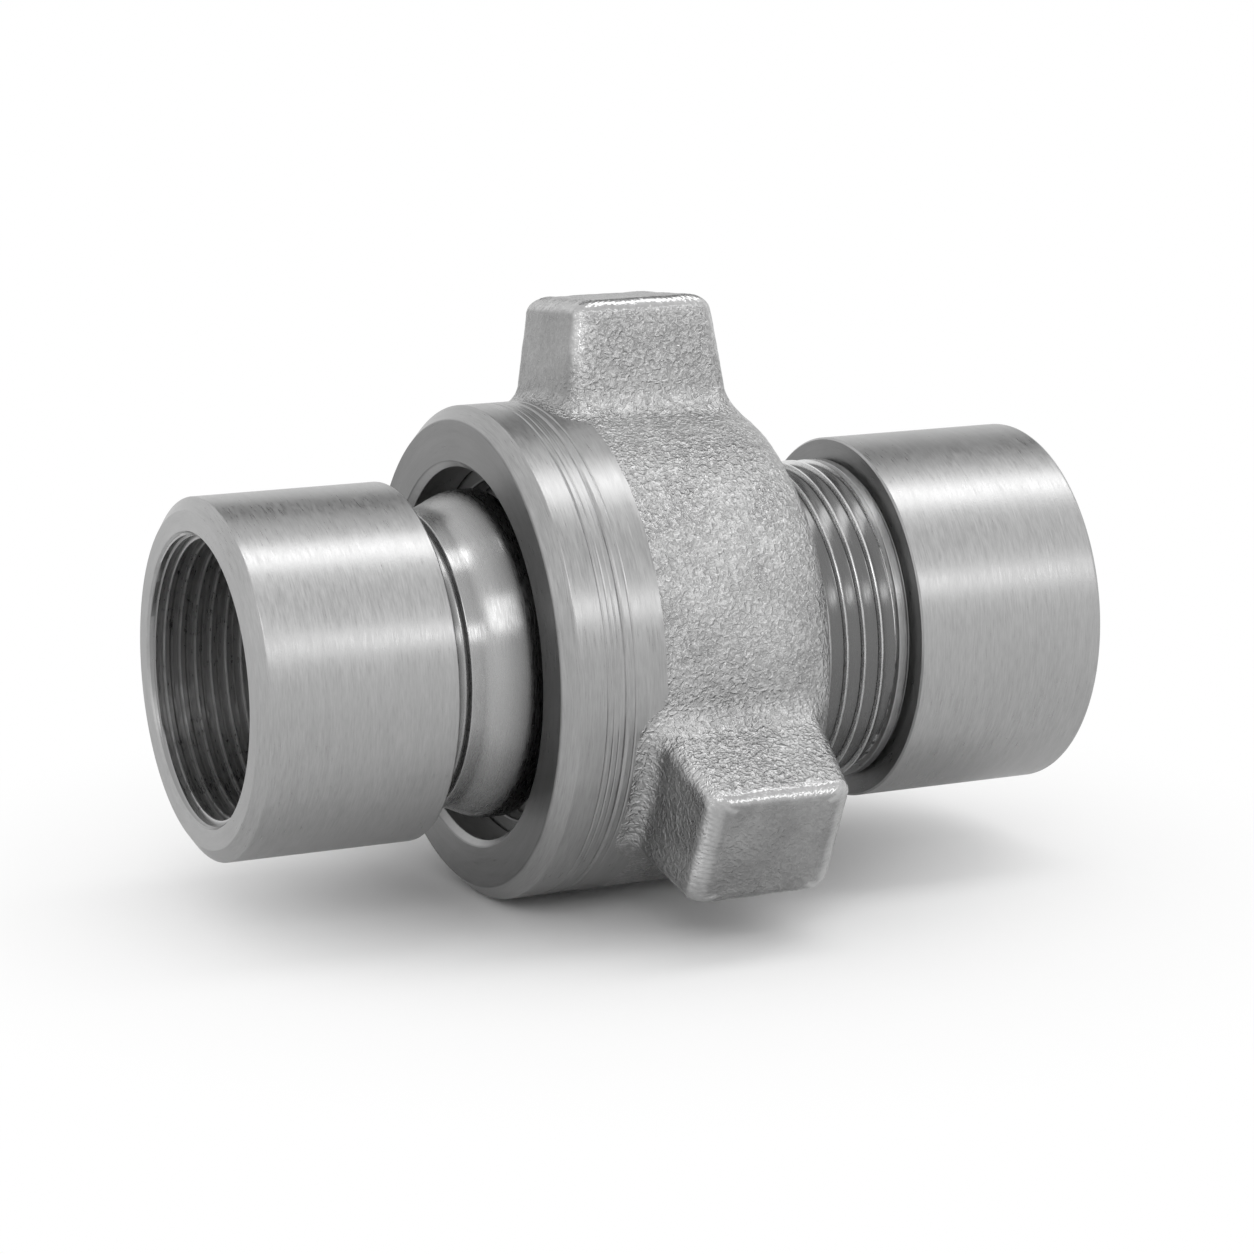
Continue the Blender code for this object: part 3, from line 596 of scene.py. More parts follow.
# %% Male sub
MALE_END, MALE_SHOULDER, MALE_RADIUS, SHANK = -143.0, -101.8, 36.4, 28.8
CHAMFER_LENGTH, CHAMFER_DROP = 1.9, 2.6
DRUM_FRONT, DRUM_BACK, LAND_RADIUS, COLLAR_RADIUS = -97.0, -80.0, 30.5, 33.5
FLARE_START, FLARE_LENGTH, FLARE_POINTS = -94.0, 9.5, 16
FLANGE_FRONT, FLANGE_BACK, FLANGE_RADIUS = -63.0, -57.0, 37.6
BALL_TOP, BALL_TIP, BALL_NECK, BALL_RADIUS, BALL_POINTS = -52.5, -44.7, 27.0, 28.0, 12
DRUM_STEEL_START, DRUM_STEEL_LEAST_RADIUS = -101.0, 28.0


def drum_corners():
    """Drum: a narrow land that flares smoothly up to the collar in the nut's mouth."""
    corners = [(DRUM_FRONT, SHANK, 0.9), (DRUM_FRONT, LAND_RADIUS, 0.35)]
    for share in np.linspace(0, 1, FLARE_POINTS):
        eased = share * share * (3 - 2 * share)
        rise = (COLLAR_RADIUS - LAND_RADIUS) * eased
        corners.append((FLARE_START + FLARE_LENGTH * share, LAND_RADIUS + rise, 0))
    corners += [(DRUM_BACK, COLLAR_RADIUS, 1.2), (DRUM_BACK, SHANK, 0.2)]
    return corners


def ball_corners():
    """Ball nose, from the neck behind it to its tip."""
    centre = BALL_TOP - math.sqrt(BALL_RADIUS ** 2 - BALL_NECK ** 2)
    return [(x, math.sqrt(BALL_RADIUS ** 2 - (x - centre) ** 2), 0)
            for x in np.linspace(BALL_TOP, BALL_TIP, BALL_POINTS)]


def male_outline():
    """Corners of the male sub from its mouth, over the outside, to the flow bore."""
    corners = [(MALE_END + PIPE_START, SOCKET_MOUTH, 0), (MALE_END, MOUTH_EDGE, 0.2),
               (MALE_END, MALE_RADIUS - CHAMFER_DROP, 0.3), (MALE_END + CHAMFER_LENGTH, MALE_RADIUS, 0.5),
               (MALE_SHOULDER, MALE_RADIUS, 0.45), (MALE_SHOULDER, SHANK, 1.6)]
    corners += drum_corners()
    corners += [(FLANGE_FRONT, SHANK, 1.0), (FLANGE_FRONT, FLANGE_RADIUS, 0.8),
                (FLANGE_BACK, FLANGE_RADIUS, 0.8), (FLANGE_BACK, BALL_NECK, 1.0)]
    corners += ball_corners()
    corners += [(BALL_TIP, BORE_RADIUS, 0.5)]
    return corners + list(reversed(socket_corners(MALE_END, 1)))


def takes_drum_steel(face):
    """Whether a face lies on the drum or the neck, outside."""
    x, r = face.center.x / MM, face.center.yz.length / MM
    return DRUM_STEEL_START < x < DRUM_BACK and r > DRUM_STEEL_LEAST_RADIUS


male_body = grid_mesh("male body", spun_grid(soften(male_outline())))
for face in male_body.polygons:
    face.material_index = 2 if takes_drum_steel(face) else 0
male_sub = join_piece("male_sub_turned", [(male_body, None), (pipe_thread(MALE_END, 1), 1)],
                      [sub_steel, socket_steel, drum_steel])
finish_piece(male_sub, "male", "male_sub")

# %% [markdown]
# ## Female sub
# The union thread is wound with the same tree: narrow crests and wide roots.
# It runs from the nose to a short land. Between that land and the shoulder is a relief groove, where the
# cutting tool had room to stop. Little light reaches there and the shoulder's face, so both take a darker
# steel: painted shade.

# %% Female sub
UNION_PITCH, UNION_PHASE, UNION_CREST, UNION_DEPTH = 4.0, -1.0, 33.9, 1.3
LAND_START, LAND_RISE, RELIEF_START, LAND_TOP, RELIEF_BOTTOM = -3.2, 0.3, -1.1, 33.7, 32.6
RELIEF_FACES = (RELIEF_START + 0.05, 0.1)
FEMALE_RADIUS, SHOULDER_CHAMFER = 38.1, 0.4
NOSE, NOSE_RADIUS, NOSE_MOUTH = -38.4, 31.9, 30.3
RECESS_BOTTOM, SEAT_TOP, SEAT_END = -33.2, 30.06, -15.8


def female_outline():
    """Corners of the female sub from its relief groove round to its nose."""
    return [(LAND_START, RELIEF_BOTTOM, 0), (LAND_START + LAND_RISE, LAND_TOP, 0.15),
            (RELIEF_START, LAND_TOP, 0.15), (RELIEF_START, RELIEF_BOTTOM, 0.15), (0.0, RELIEF_BOTTOM, 0.3),
            (0.0, FEMALE_RADIUS - SHOULDER_CHAMFER, 0.08), (SHOULDER_CHAMFER, FEMALE_RADIUS, 0.08),
            (FEMALE_BODY_LENGTH, FEMALE_RADIUS, 0.9), (FEMALE_BODY_LENGTH, MOUTH_EDGE, 0.2),
            (FEMALE_BODY_LENGTH - PIPE_START, SOCKET_MOUTH, 0)]


def female_inside():
    """Corners from the socket's bottom through the bore and the seat to the nose."""
    corners = socket_corners(FEMALE_BODY_LENGTH, -1)
    return corners + [(SEAT_END, BORE_RADIUS, 0.3), (RECESS_BOTTOM, SEAT_TOP, 0.15),
                      (RECESS_BOTTOM, NOSE_MOUTH, 0), (NOSE, NOSE_MOUTH, 0.2), (NOSE, NOSE_RADIUS, 0)]


female_body = grid_mesh("female body", spun_grid(soften(female_outline())))
female_bore = grid_mesh("female bore", spun_grid(soften(female_inside())))
union_thread = wind(UNION_OUTLINE, (NOSE, NOSE_RADIUS), (LAND_START, RELIEF_BOTTOM), UNION_PITCH, UNION_PHASE,
                    crest_radius=UNION_CREST * MM, depth=UNION_DEPTH * MM)
# Painted shade: the faces of the relief groove and of the shoulder take the darker relief steel.
for face in female_body.polygons:
    face.material_index = 3 if RELIEF_FACES[0] < face.center.x / MM < RELIEF_FACES[1] else 0
female_sub = join_piece("female_sub_turned", [(female_body, None), (female_bore, 0), (union_thread, 1),
                                              (pipe_thread(FEMALE_BODY_LENGTH, -1), 2)],
                        [sub_steel, thread_steel, socket_steel, shaded_relief_steel])
finish_piece(female_sub, "female", "female_sub")

# %% [markdown]
# ## Wing nut: the ring
# The nut is one forging. A lathe has faced its front, turned a band behind
# that and cut the bore, and the rest keeps the skin that the forging dies
# left. Its mesh has 300 columns, and they start in the middle of the first
# wing, so each wing's root fits a whole number of columns. The union lies on
# the nut's ring and one wing, and that gives the turn of the wings.

# %% Sizes of the wing nut
NUT_COLUMNS, WINDOW_COLUMNS = 300, 20
NUT_FRONT, NUT_BACK = -85.7, -25.1
NUT_RADIUS, NUT_BAND_RADIUS, NUT_BACK_RADIUS, NUT_BACK_ROUND = 50.66, 50.52, 44.5, 17.0
BAND_STEP, BACK_POWER = 0.2, 2.2
SOLID_RADIUS, SOLID_CORNER = 50.8, 2.8
WING_REACH, WING_MIDDLE, WING_HALF_LENGTH, WING_HALF_WIDTH = 70.9, -47.9, 16.0, 13.6
WING_FILLET, WING_CORNER, WING_EDGE = 4.4, 3.8, 3.8
WINDOW_FRONT, BAND_END, WINDOW_BACK = -70.4, -65.1, -25.3


def wing_lean():
    """Turn of the top wing from upright, when ring and wing lie on the paper."""
    corner_reach = math.hypot(WING_REACH - SOLID_CORNER, WING_HALF_WIDTH - SOLID_CORNER)
    corner_angle = math.atan2(WING_HALF_WIDTH - SOLID_CORNER, WING_REACH - SOLID_CORNER)
    return math.pi / 3 - corner_angle - math.acos((SOLID_RADIUS - SOLID_CORNER) / corner_reach)


FIRST_WING = math.pi / 2 - wing_lean()


def nut_radius(x):
    """Radius of the forged outside at a place along the axis, in millimetres."""
    share = min(max((x - NUT_BACK + NUT_BACK_ROUND) / NUT_BACK_ROUND, 0), 1)
    full = NUT_BAND_RADIUS if x < BAND_END - BAND_STEP else NUT_RADIUS
    rounding = (1 - share ** BACK_POWER) ** (1 / BACK_POWER)
    return NUT_BACK_RADIUS + (full - NUT_BACK_RADIUS) * rounding


print("top wing leans", round(math.degrees(wing_lean()), 2), "degrees")

# %% [markdown]
# The front part of the ring is again a spun outline: from the front of the
# wings forward over the turned band, with the grooves that the tool left, the
# chamfer and the face, then in through the mouth and the split ring's groove to
# the thread. Each groove of the band is (middle, depth, half width).

# %% Corners of the ring
BAND_GROOVES = ((-70.85, 0.20, 0.28), (-72.75, 0.42, 0.55), (-74.3, 0.10, 0.22), (-75.5, 0.16, 0.26),
                (-76.8, 0.26, 0.28))
CHAMFER_START, FACE_RADIUS, MOUTH_RADIUS, MOUTH_CHAMFER = -82.7, 47.6, 38.1, 1.4
GROOVE_FRONT, GROOVE_BACK, GROOVE_RADIUS = -76.4, -71.5, 41.0
CHAMBER_END, THREAD_MOUTH, THREAD_BACK = -55.6, (-49.1, 34.2), (NUT_BACK, 34.3)
BACK_FACE_RADII = (34.3, 36.0, 40.0, 43.0, 44.2)
NUT_THREAD_OUTLINE = ((-0.66, 0.03), (0.0, 0.0), (0.66, 0.03), (0.80, 0.2), (1.05, 0.92),
                      (1.2, 1.0), (2.8, 1.0), (2.95, 0.92), (3.2, 0.2))
NUT_CREST, NUT_THREAD_DEPTH = 32.9, 1.3


def band_corners():
    """Turned band from the wings forward, with its tool grooves."""
    corners = [(WINDOW_FRONT, NUT_BAND_RADIUS, 0)]
    for middle, depth, half_width in BAND_GROOVES:
        corners += [(middle + half_width, NUT_BAND_RADIUS, 0.1), (middle, NUT_BAND_RADIUS - depth, 0.08),
                    (middle - half_width, NUT_BAND_RADIUS, 0.1)]
    return corners


def front_outline():
    """Corners from the wings forward, round the face and in to the thread."""
    corners = band_corners()
    corners += [(CHAMFER_START, NUT_BAND_RADIUS, 0.35), (NUT_FRONT, FACE_RADIUS, 0.35),
                (NUT_FRONT, MOUTH_RADIUS + MOUTH_CHAMFER, 0.2),
                (NUT_FRONT + MOUTH_CHAMFER, MOUTH_RADIUS, 0.4),
                (GROOVE_FRONT, MOUTH_RADIUS, 0.15), (GROOVE_FRONT, GROOVE_RADIUS, 0),
                (GROOVE_BACK, GROOVE_RADIUS, 0), (GROOVE_BACK, MOUTH_RADIUS, 0.15),
                (CHAMBER_END, MOUTH_RADIUS, 0), (CHAMBER_END, THREAD_MOUTH[1], 0), (*THREAD_MOUTH, 0)]
    return soften(corners, steps=2)


def back_outline():
    """Corners from the thread over the rounded back edge to the wings."""
    corners = [(NUT_BACK, radius) for radius in BACK_FACE_RADII]
    share = (WINDOW_BACK - NUT_BACK + NUT_BACK_ROUND) / NUT_BACK_ROUND
    for step in np.linspace(1.0, share, 4):
        x = NUT_BACK - NUT_BACK_ROUND * (1 - step)
        corners.append((x, nut_radius(x)))
    return corners


print("the nut's front outline has", len(front_outline()), "points")

# %% [markdown]
# The nut's thread is the union thread again, with the same pitch, phase and
# hand, cut into the bore. The tool didn't cut every groove of the band to one
# depth, so noise round the nut lets each groove come and go. Attributes tell
# which skin is forged.

# %% Spin the ring
GROOVES_FRONT, OUTSIDE_RADIUS, FORGED_RADIUS = -78.0, 50.0, 43.0
GROOVE_SHARE, GROOVE_WANDER, WANDER_SPREAD = 0.6, 0.7, 1.7


def wander_groove(x, r, turn):
    """Radius of a groove of the band at one turn round the nut."""
    where = (math.cos(turn) * WANDER_SPREAD, math.sin(turn) * WANDER_SPREAD, x)
    return NUT_BAND_RADIUS - (NUT_BAND_RADIUS - r) * (GROOVE_SHARE + GROOVE_WANDER * noise.noise(where))


def nut_grid(name, outline):
    """Spun grid of the nut, with its first column in the middle of the first wing."""
    grid = spun_grid(outline, NUT_COLUMNS, FIRST_WING, FIRST_WING + math.tau)
    rows, columns = grid.shape[:2]
    for row, (x, r) in enumerate(outline):
        if GROOVES_FRONT < x < WINDOW_FRONT - 0.05 and r > OUTSIDE_RADIUS:
            for column in range(columns):
                turn = math.tau * (column % NUT_COLUMNS) / NUT_COLUMNS
                grid[row, column, 1:] *= wander_groove(x, r, turn) / r
    is_forged = np.array([[float(x > BAND_END and r > FORGED_RADIUS)] for x, r in outline])
    empty = np.zeros((rows, columns))
    return grid_mesh(name, grid, {
        "forged": np.repeat(is_forged, columns, axis=1), "wear_and_highlight": empty, "ripple": empty,
    })


nut_thread = wind(NUT_THREAD_OUTLINE, THREAD_MOUTH, THREAD_BACK, UNION_PITCH,
                  UNION_PHASE + UNION_PITCH * FIRST_WING / math.tau, steps=NUT_COLUMNS, side=-1.0,
                  crest_radius=NUT_CREST * MM, depth=NUT_THREAD_DEPTH * MM)
nut_thread.transform(Matrix.Rotation(FIRST_WING, 4, "X"))
nut_front = nut_grid("nut front", front_outline())
nut_back = nut_grid("nut back", back_outline())
print("ring of", len(nut_front.polygons) + len(nut_back.polygons) + len(nut_thread.polygons), "faces")

# %% [markdown]
# Between the wings the outside is a plain stretch of skin. The line where the
# lathe stopped wanders a little, because the forging under it is uneven.

# %% Skin between the wings
SKIN_PLACES = np.concatenate([np.linspace(WINDOW_FRONT, BAND_END, 6),
                              np.linspace(BAND_END, WINDOW_BACK, 38)[1:]])
LINE_WIDTH, LINE_WANDER, FORGED_FROM = 1.2, 0.28, BAND_END + 0.1
WIDE_WAVES, SMALL_WAVES, SMALL_WAVE_SHARE = (0.3, 9), (0.7, 31), 0.6


def skin_point(x, angle):
    """(place, radius) of the outside at a row and an angle, with the wandering line."""
    near_line = max(0.0, 1 - abs(x - BAND_END) / LINE_WIDTH)
    wide, small = (noise.noise(Vector((math.cos(angle), math.sin(angle), level)) * scale)
                   for level, scale in (WIDE_WAVES, SMALL_WAVES))
    wander = wide + SMALL_WAVE_SHARE * small
    return x + LINE_WANDER * near_line * wander, nut_radius(x)


def skin_strip(number):
    """Mesh of the skin from one wing's window to the next."""
    first = FIRST_WING + math.tau * number / 3
    columns = range(WINDOW_COLUMNS, NUT_COLUMNS // 3 - WINDOW_COLUMNS + 1)
    angles = [first + math.tau * column / NUT_COLUMNS for column in columns]
    grid = np.zeros((len(SKIN_PLACES), len(angles), 3))
    for row, x in enumerate(SKIN_PLACES):
        for column, angle in enumerate(angles):
            place, radius = skin_point(x, angle)
            grid[row, column] = (place * MM, radius * math.cos(angle) * MM, radius * math.sin(angle) * MM)
    forged = np.repeat((SKIN_PLACES > FORGED_FROM).astype(float)[:, None], len(angles), axis=1)
    empty = np.zeros(forged.shape)
    return grid_mesh("skin", grid, {"forged": forged, "wear_and_highlight": empty, "ripple": empty})


skin_strips = [skin_strip(number) for number in range(3)]
print("skin strips of", len(skin_strips[0].polygons), "faces")

# %% [markdown]
# ## Wing nut: the wings
# A wing grows out of the ring in closed loops: a toe on the ring, a fillet, the
# tapered wall that the hammer strikes, a rounded edge and a flat end. All these
# loops have the same number of points, so they join into clean strips. Each
# loop is a rectangle with rounded corners, and its points are spaced evenly
# from the middle of one corner to the middle of the next.

# %% Loops of a wing
def loop_side(half_along, half_out, corner, share):
    """(along, out, distance from the corner's middle) on one side of a rounded rectangle."""
    quarter = corner * math.pi / 4
    straight = 2 * (half_along - corner)
    distance = share * (straight + 2 * quarter)
    from_end = min(distance, straight + 2 * quarter - distance)
    if from_end >= quarter:
        return -half_along + corner + distance - quarter, half_out, from_end
    angle = math.pi / 4 - from_end / corner
    along = half_along - corner + corner * math.sin(angle)
    out = half_out - corner + corner * math.cos(angle)
    return (-along if share < 0.5 else along), out, from_end


def wing_rectangle(half_length, half_width, corner, counts):
    """Points (along the axis, across, distance from a corner) round a wing."""
    points = []
    for side in range(4):
        turn = side * math.pi / 2
        halves = (half_length, half_width) if side % 2 == 0 else (half_width, half_length)
        for step in range(counts[side % 2]):
            along, out, from_corner = loop_side(halves[0], halves[1], corner, step / counts[side % 2])
            points.append((along * math.cos(turn) + out * math.sin(turn),
                           along * math.sin(turn) - out * math.cos(turn), from_corner))
    return points


SIDE_COUNTS = (len(SKIN_PLACES) - 1, 2 * WINDOW_COLUMNS)
FINE_COUNTS = (2 * SIDE_COUNTS[0], 2 * SIDE_COUNTS[1])
print("a wing's loop has", 2 * sum(FINE_COUNTS), "points")

# %% [markdown]
# The dies leave more than smooth fillets. Along the roots and the edges the metal has folded into small
# slanting ripples, about 1.6 mm apart, and the long edges are worn. The ripples are real relief. Where an
# edge is worn is kept as an attribute, for the material, and the material also paints these edges brighter: a
# painted highlight. The walls lean inwards, so that the forging comes out of its dies.

# %% Heights of a wing's loops
RIPPLE_PITCH, FOOT_DROP = 1.6, 20.1
END_DRAFT, SIDE_DRAFT = math.radians(5.5), math.radians(3.5)
END_INWARD, SIDE_INWARD = 5.5, 2.8
FILLET_STEPS, WALL_STEPS, EDGE_STEPS = 8, 13, 8
FOOT_RIPPLE_POWER, EDGE_RIPPLE, WORN_RIPPLE = 1.5, 0.7, 0.7
RIPPLE_SLANT, ALONG_SLANT, BEND, BEND_SCALE = 0.41, 0.35, 0.9, 0.16
RIPPLE_LEVEL, RIPPLE_CHANGE, CHANGE_SCALE = 0.6, 0.4, 0.5


def wing_levels():
    """(half length, half width, corner, height, wall share, ripple, wear and painted highlight) of each fine
    loop.
    """
    foot_length = WING_HALF_LENGTH + FOOT_DROP * math.tan(END_DRAFT)
    foot_width = WING_HALF_WIDTH + FOOT_DROP * math.tan(SIDE_DRAFT)
    levels = []
    for step in range(FILLET_STEPS + 1):
        angle = math.pi / 2 * step / FILLET_STEPS
        out, height = WING_FILLET * (1 - math.sin(angle)), WING_FILLET * (1 - math.cos(angle))
        levels.append((foot_length + out, foot_width + out, WING_CORNER + out, height, 0.0,
                       math.sin(angle * 2) ** FOOT_RIPPLE_POWER, 0.0))
    for step in range(1, WALL_STEPS + 1):
        share = step / WALL_STEPS
        levels.append((foot_length + (WING_HALF_LENGTH - foot_length) * share,
                       foot_width + (WING_HALF_WIDTH - foot_width) * share, WING_CORNER, WING_FILLET, share,
                       0.0, 0.0))
    for step in range(1, EDGE_STEPS + 1):
        angle = math.pi / 2 * step / EDGE_STEPS
        inward, rise = 1 - math.cos(angle), math.sin(angle)
        levels.append((WING_HALF_LENGTH - END_INWARD * inward, WING_HALF_WIDTH - SIDE_INWARD * inward,
                       WING_CORNER - SIDE_INWARD * inward, WING_EDGE * rise, 2.0,
                       EDGE_RIPPLE * math.sin(angle * 2), math.sin(angle * 2)))
    return levels


def level_points(level, counts):
    """Local points (x, across, reach) of one loop, with its ripple and its wear and painted highlight."""
    half_length, half_width, corner, height, share, ripple, wear_and_highlight = level
    base = WING_REACH - WING_EDGE
    points = []
    for index, (along, across, from_corner) in enumerate(
            wing_rectangle(half_length, half_width, corner, counts)):
        x = WING_MIDDLE + along
        on_ring = math.sqrt(nut_radius(max(x, BAND_END)) ** 2 - across ** 2) + height
        reach = base + height if share > 1 else on_ring + (base - on_ring) * share
        # Wear and painted highlight: the edges and the wall's corners are marked for a smoother and brighter
        # steel.
        at_corner = max(0.0, 1 - from_corner / (corner * 0.8 + 1.2))
        edge_wear_and_highlight = max(wear_and_highlight, at_corner * min(share * 2, 1.0) if share > 0 else 0.0)
        bend = BEND * noise.noise(Vector((x, across, reach)) * BEND_SCALE)
        slant = (index * RIPPLE_SLANT + bend + ALONG_SLANT * reach) * math.tau / RIPPLE_PITCH
        strength = RIPPLE_LEVEL + RIPPLE_CHANGE * noise.noise(Vector((x, across, reach)) * CHANGE_SCALE)
        rippled = max(ripple, WORN_RIPPLE * edge_wear_and_highlight) * strength
        points.append(((x, across, reach), rippled * math.sin(slant), edge_wear_and_highlight))
    return points


print("a wing has", len(wing_levels()), "loops from its toe to its flat")

# %% [markdown]
# The flat on top is filled with a grid that is blended from its four sides.
# Loops of the skin have half as many points as a wing's loops, and a ring of
# triangles joins the two.

# %% Fill and fan
def window_points(counts):
    """(place, angle) round a wing's window, in the order of the loops."""
    half_angle = math.tau * WINDOW_COLUMNS / NUT_COLUMNS
    places = np.linspace(0, len(SKIN_PLACES) - 1, counts[0] + 1)
    rows = np.interp(places, range(len(SKIN_PLACES)), SKIN_PLACES)
    angles = np.linspace(-half_angle, half_angle, counts[1] + 1)
    points = [(x, -half_angle) for x in rows[:-1]]
    points += [(WINDOW_BACK, angle) for angle in angles[:-1]]
    points += [(x, half_angle) for x in rows[:0:-1]]
    return points + [(WINDOW_FRONT, angle) for angle in angles[:0:-1]]


def fan_faces(coarse_start, fine_start, count):
    """Triangles between a loop of count points and one of twice as many."""
    faces = []
    for i in range(count):
        here, after = coarse_start + i, coarse_start + (i + 1) % count
        left, middle = fine_start + 2 * i, fine_start + 2 * i + 1
        right = fine_start + (2 * i + 2) % (2 * count)
        faces += [(here, middle, left), (here, after, middle), (after, right, middle)]
    return faces


def fill_top(verts, top):
    """Points and faces of a grid inside the loop of points from top on."""
    columns, rows = SIDE_COUNTS
    rim = [Vector(point) for point in verts[top:]]
    low = rim[:columns + 1]
    right = rim[columns:columns + rows + 1]
    high = list(reversed(rim[columns + rows:2 * columns + rows + 1]))
    left = [rim[0]] + list(reversed(rim[2 * columns + rows:]))
    index, inside = {}, []
    for i in range(columns + 1):
        index[i, 0] = top + i
        index[i, rows] = top + 2 * columns + rows - i
    for j in range(rows + 1):
        index[columns, j] = top + columns + j
        index[0, j] = top + (2 * (columns + rows) - j) % (2 * (columns + rows))
    for i in range(1, columns):
        for j in range(1, rows):
            u, v = i / columns, j / rows
            point = low[i] * (1 - v) + high[i] * v + left[j] * (1 - u) + right[j] * u
            point -= (low[0] * (1 - u) * (1 - v) + low[-1] * u * (1 - v)
                      + high[0] * (1 - u) * v + high[-1] * u * v)
            index[i, j] = len(verts) + len(inside)
            inside.append(tuple(point))
    faces = [(index[i, j], index[i + 1, j], index[i + 1, j + 1], index[i, j + 1])
             for i in range(columns) for j in range(rows)]
    return inside, faces


print("a wing's window has", len(window_points(SIDE_COUNTS)), "points")

# %% [markdown]
# A wing is built lying along its own reach and then turned to its place. Two
# more loops lead from the window in the skin to the toe, then come the loops
# of the fillet, the wall and the edge, and last the flat.

# %% Build one wing
TOE_SHARES = (0.35, 0.7)
RIM_INWARD, RIM_ROUNDING, RIM_CORNER = 0.8, 0.6, 0.4
UV_LENGTH = 60


def wing_rim(level):
    """Points of the coarse loop just inside the last fine one."""
    half_length, half_width, corner = level[:3]
    rim = (half_length - RIM_INWARD, half_width - RIM_INWARD, max(corner - RIM_ROUNDING, RIM_CORNER))
    return [point for point, _ripple, _wear in level_points(rim + level[3:5] + (0.0, 0.0), SIDE_COUNTS)]


def wing_mesh(direction, verts, faces, marks):
    """Mesh of a wing turned to its place, with its attributes and its UV map."""
    cosine, sine = math.cos(direction), math.sin(direction)
    placed = [(x * MM, (reach * cosine - across * sine) * MM, (reach * sine + across * cosine) * MM)
              for x, across, reach in verts]
    mesh = bpy.data.meshes.new("wing")
    mesh.from_pydata(placed, [], faces)
    for name, values in zip(("forged", "wear_and_highlight", "ripple"), zip(*marks)):
        mesh.attributes.new(name, "FLOAT", "POINT").data.foreach_set("value", values)
    angles = [math.atan2(across, reach) / math.tau for x, across, reach in verts]
    uv = mesh.uv_layers.new(name="turning").data
    for loop in mesh.loops:
        uv[loop.index].uv = (angles[loop.vertex_index], verts[loop.vertex_index][0] / UV_LENGTH)
    return mesh


def build_wing(number):
    """Mesh of one wing and of the skin round its root."""
    direction = FIRST_WING + math.tau * number / 3
    coarse, fine = 2 * sum(SIDE_COUNTS), 2 * sum(FINE_COUNTS)
    levels = wing_levels()
    toe = [(point[0], math.asin(point[1] / nut_radius(point[0])))
           for point, _ripple, _wear in level_points(levels[0], FINE_COUNTS)]
    verts, marks = [], []

    def add_skin_point(x, angle):
        place, radius = skin_point(x, direction + angle)
        verts.append((place, radius * math.sin(angle), radius * math.cos(angle)))
        marks.append((float(x > FORGED_FROM), 0.0, 0.0))

    for x, angle in window_points(SIDE_COUNTS):
        add_skin_point(x, angle)
    for share in TOE_SHARES:
        for (x, angle), (toe_x, toe_angle) in zip(window_points(FINE_COUNTS), toe):
            add_skin_point(x + (toe_x - x) * share, angle + (toe_angle - angle) * share)
    for level in levels:
        for point, ripple, wear_and_highlight in level_points(level, FINE_COUNTS):
            verts.append(point)
            marks.append((1.0, wear_and_highlight, ripple))
    faces = fan_faces(0, coarse, coarse)
    last = len(verts) - fine
    for loop in range(coarse, last, fine):
        for i in range(fine):
            after = (i + 1) % fine
            faces.append((loop + i, loop + after, loop + fine + after, loop + fine + i))
    top = len(verts)
    verts += wing_rim(levels[-1])
    faces += [(first, third, second) for first, second, third in fan_faces(top, last, coarse)]
    inside, top_faces = fill_top(verts, top)
    verts += inside
    marks += [(1.0, 0.0, 0.0)] * (len(verts) - top)
    return wing_mesh(direction, verts, faces + top_faces, marks)


wing_meshes = [build_wing(number) for number in range(3)]
print("one wing has", len(wing_meshes[0].polygons), "faces")

# %% [markdown]
# The raw skin of a forging is never smooth. Every point of it moves in by a
# little, from noise of two sizes, and the ripples move with it. The skin only
# ever moves inwards, so the nut keeps the size that was packed.

# %% Roughen the forged skin
BROAD_SCALE, SMALL_SCALE, SMALL_SHIFT = 170, 560, Vector((3, 1, 7))
SKIN_DEPTH, BROAD_DEPTH, SMALL_DEPTH, RIPPLE_DEPTH = 0.14, 0.10, 0.07, 0.13


def roughen_forging(bm):
    """Move the forged points inwards by noise and by their ripples."""
    forged = bm.verts.layers.float["forged"]
    ripple = bm.verts.layers.float["ripple"]
    bm.normal_update()
    moves = []
    for vert in bm.verts:
        if vert[forged] < 0.01:
            moves.append(None)
            continue
        broad = noise.noise(vert.co * BROAD_SCALE)
        small = noise.noise(vert.co * SMALL_SCALE + SMALL_SHIFT)
        depth = SKIN_DEPTH + BROAD_DEPTH * broad + SMALL_DEPTH * small - RIPPLE_DEPTH * vert[ripple]
        moves.append(vert.normal * (-max(depth, 0.0) * vert[forged] * MM))
    for vert, move in zip(bm.verts, moves):
        if move:
            vert.co += move


print("the forged skin lies about", SKIN_DEPTH, "mm below its solid")

# %% [markdown]
# The forging's own steel is grey and sparkles, because its skin is covered with short curved folds. Noise
# that bends another noise gives folds of that kind. The fold crests are painted a little brighter and the
# hollows a little darker: painted highlight and painted shade. Where an edge is worn, the folds are flatter
# and the steel is smoother, and it is painted brighter: a painted highlight along the edges. The wing tips
# and the faces that look forward have been trimmed, and are flatter too. Both are painted darker: painted
# shade on the faces that look forward, and a darker tone on the tips.

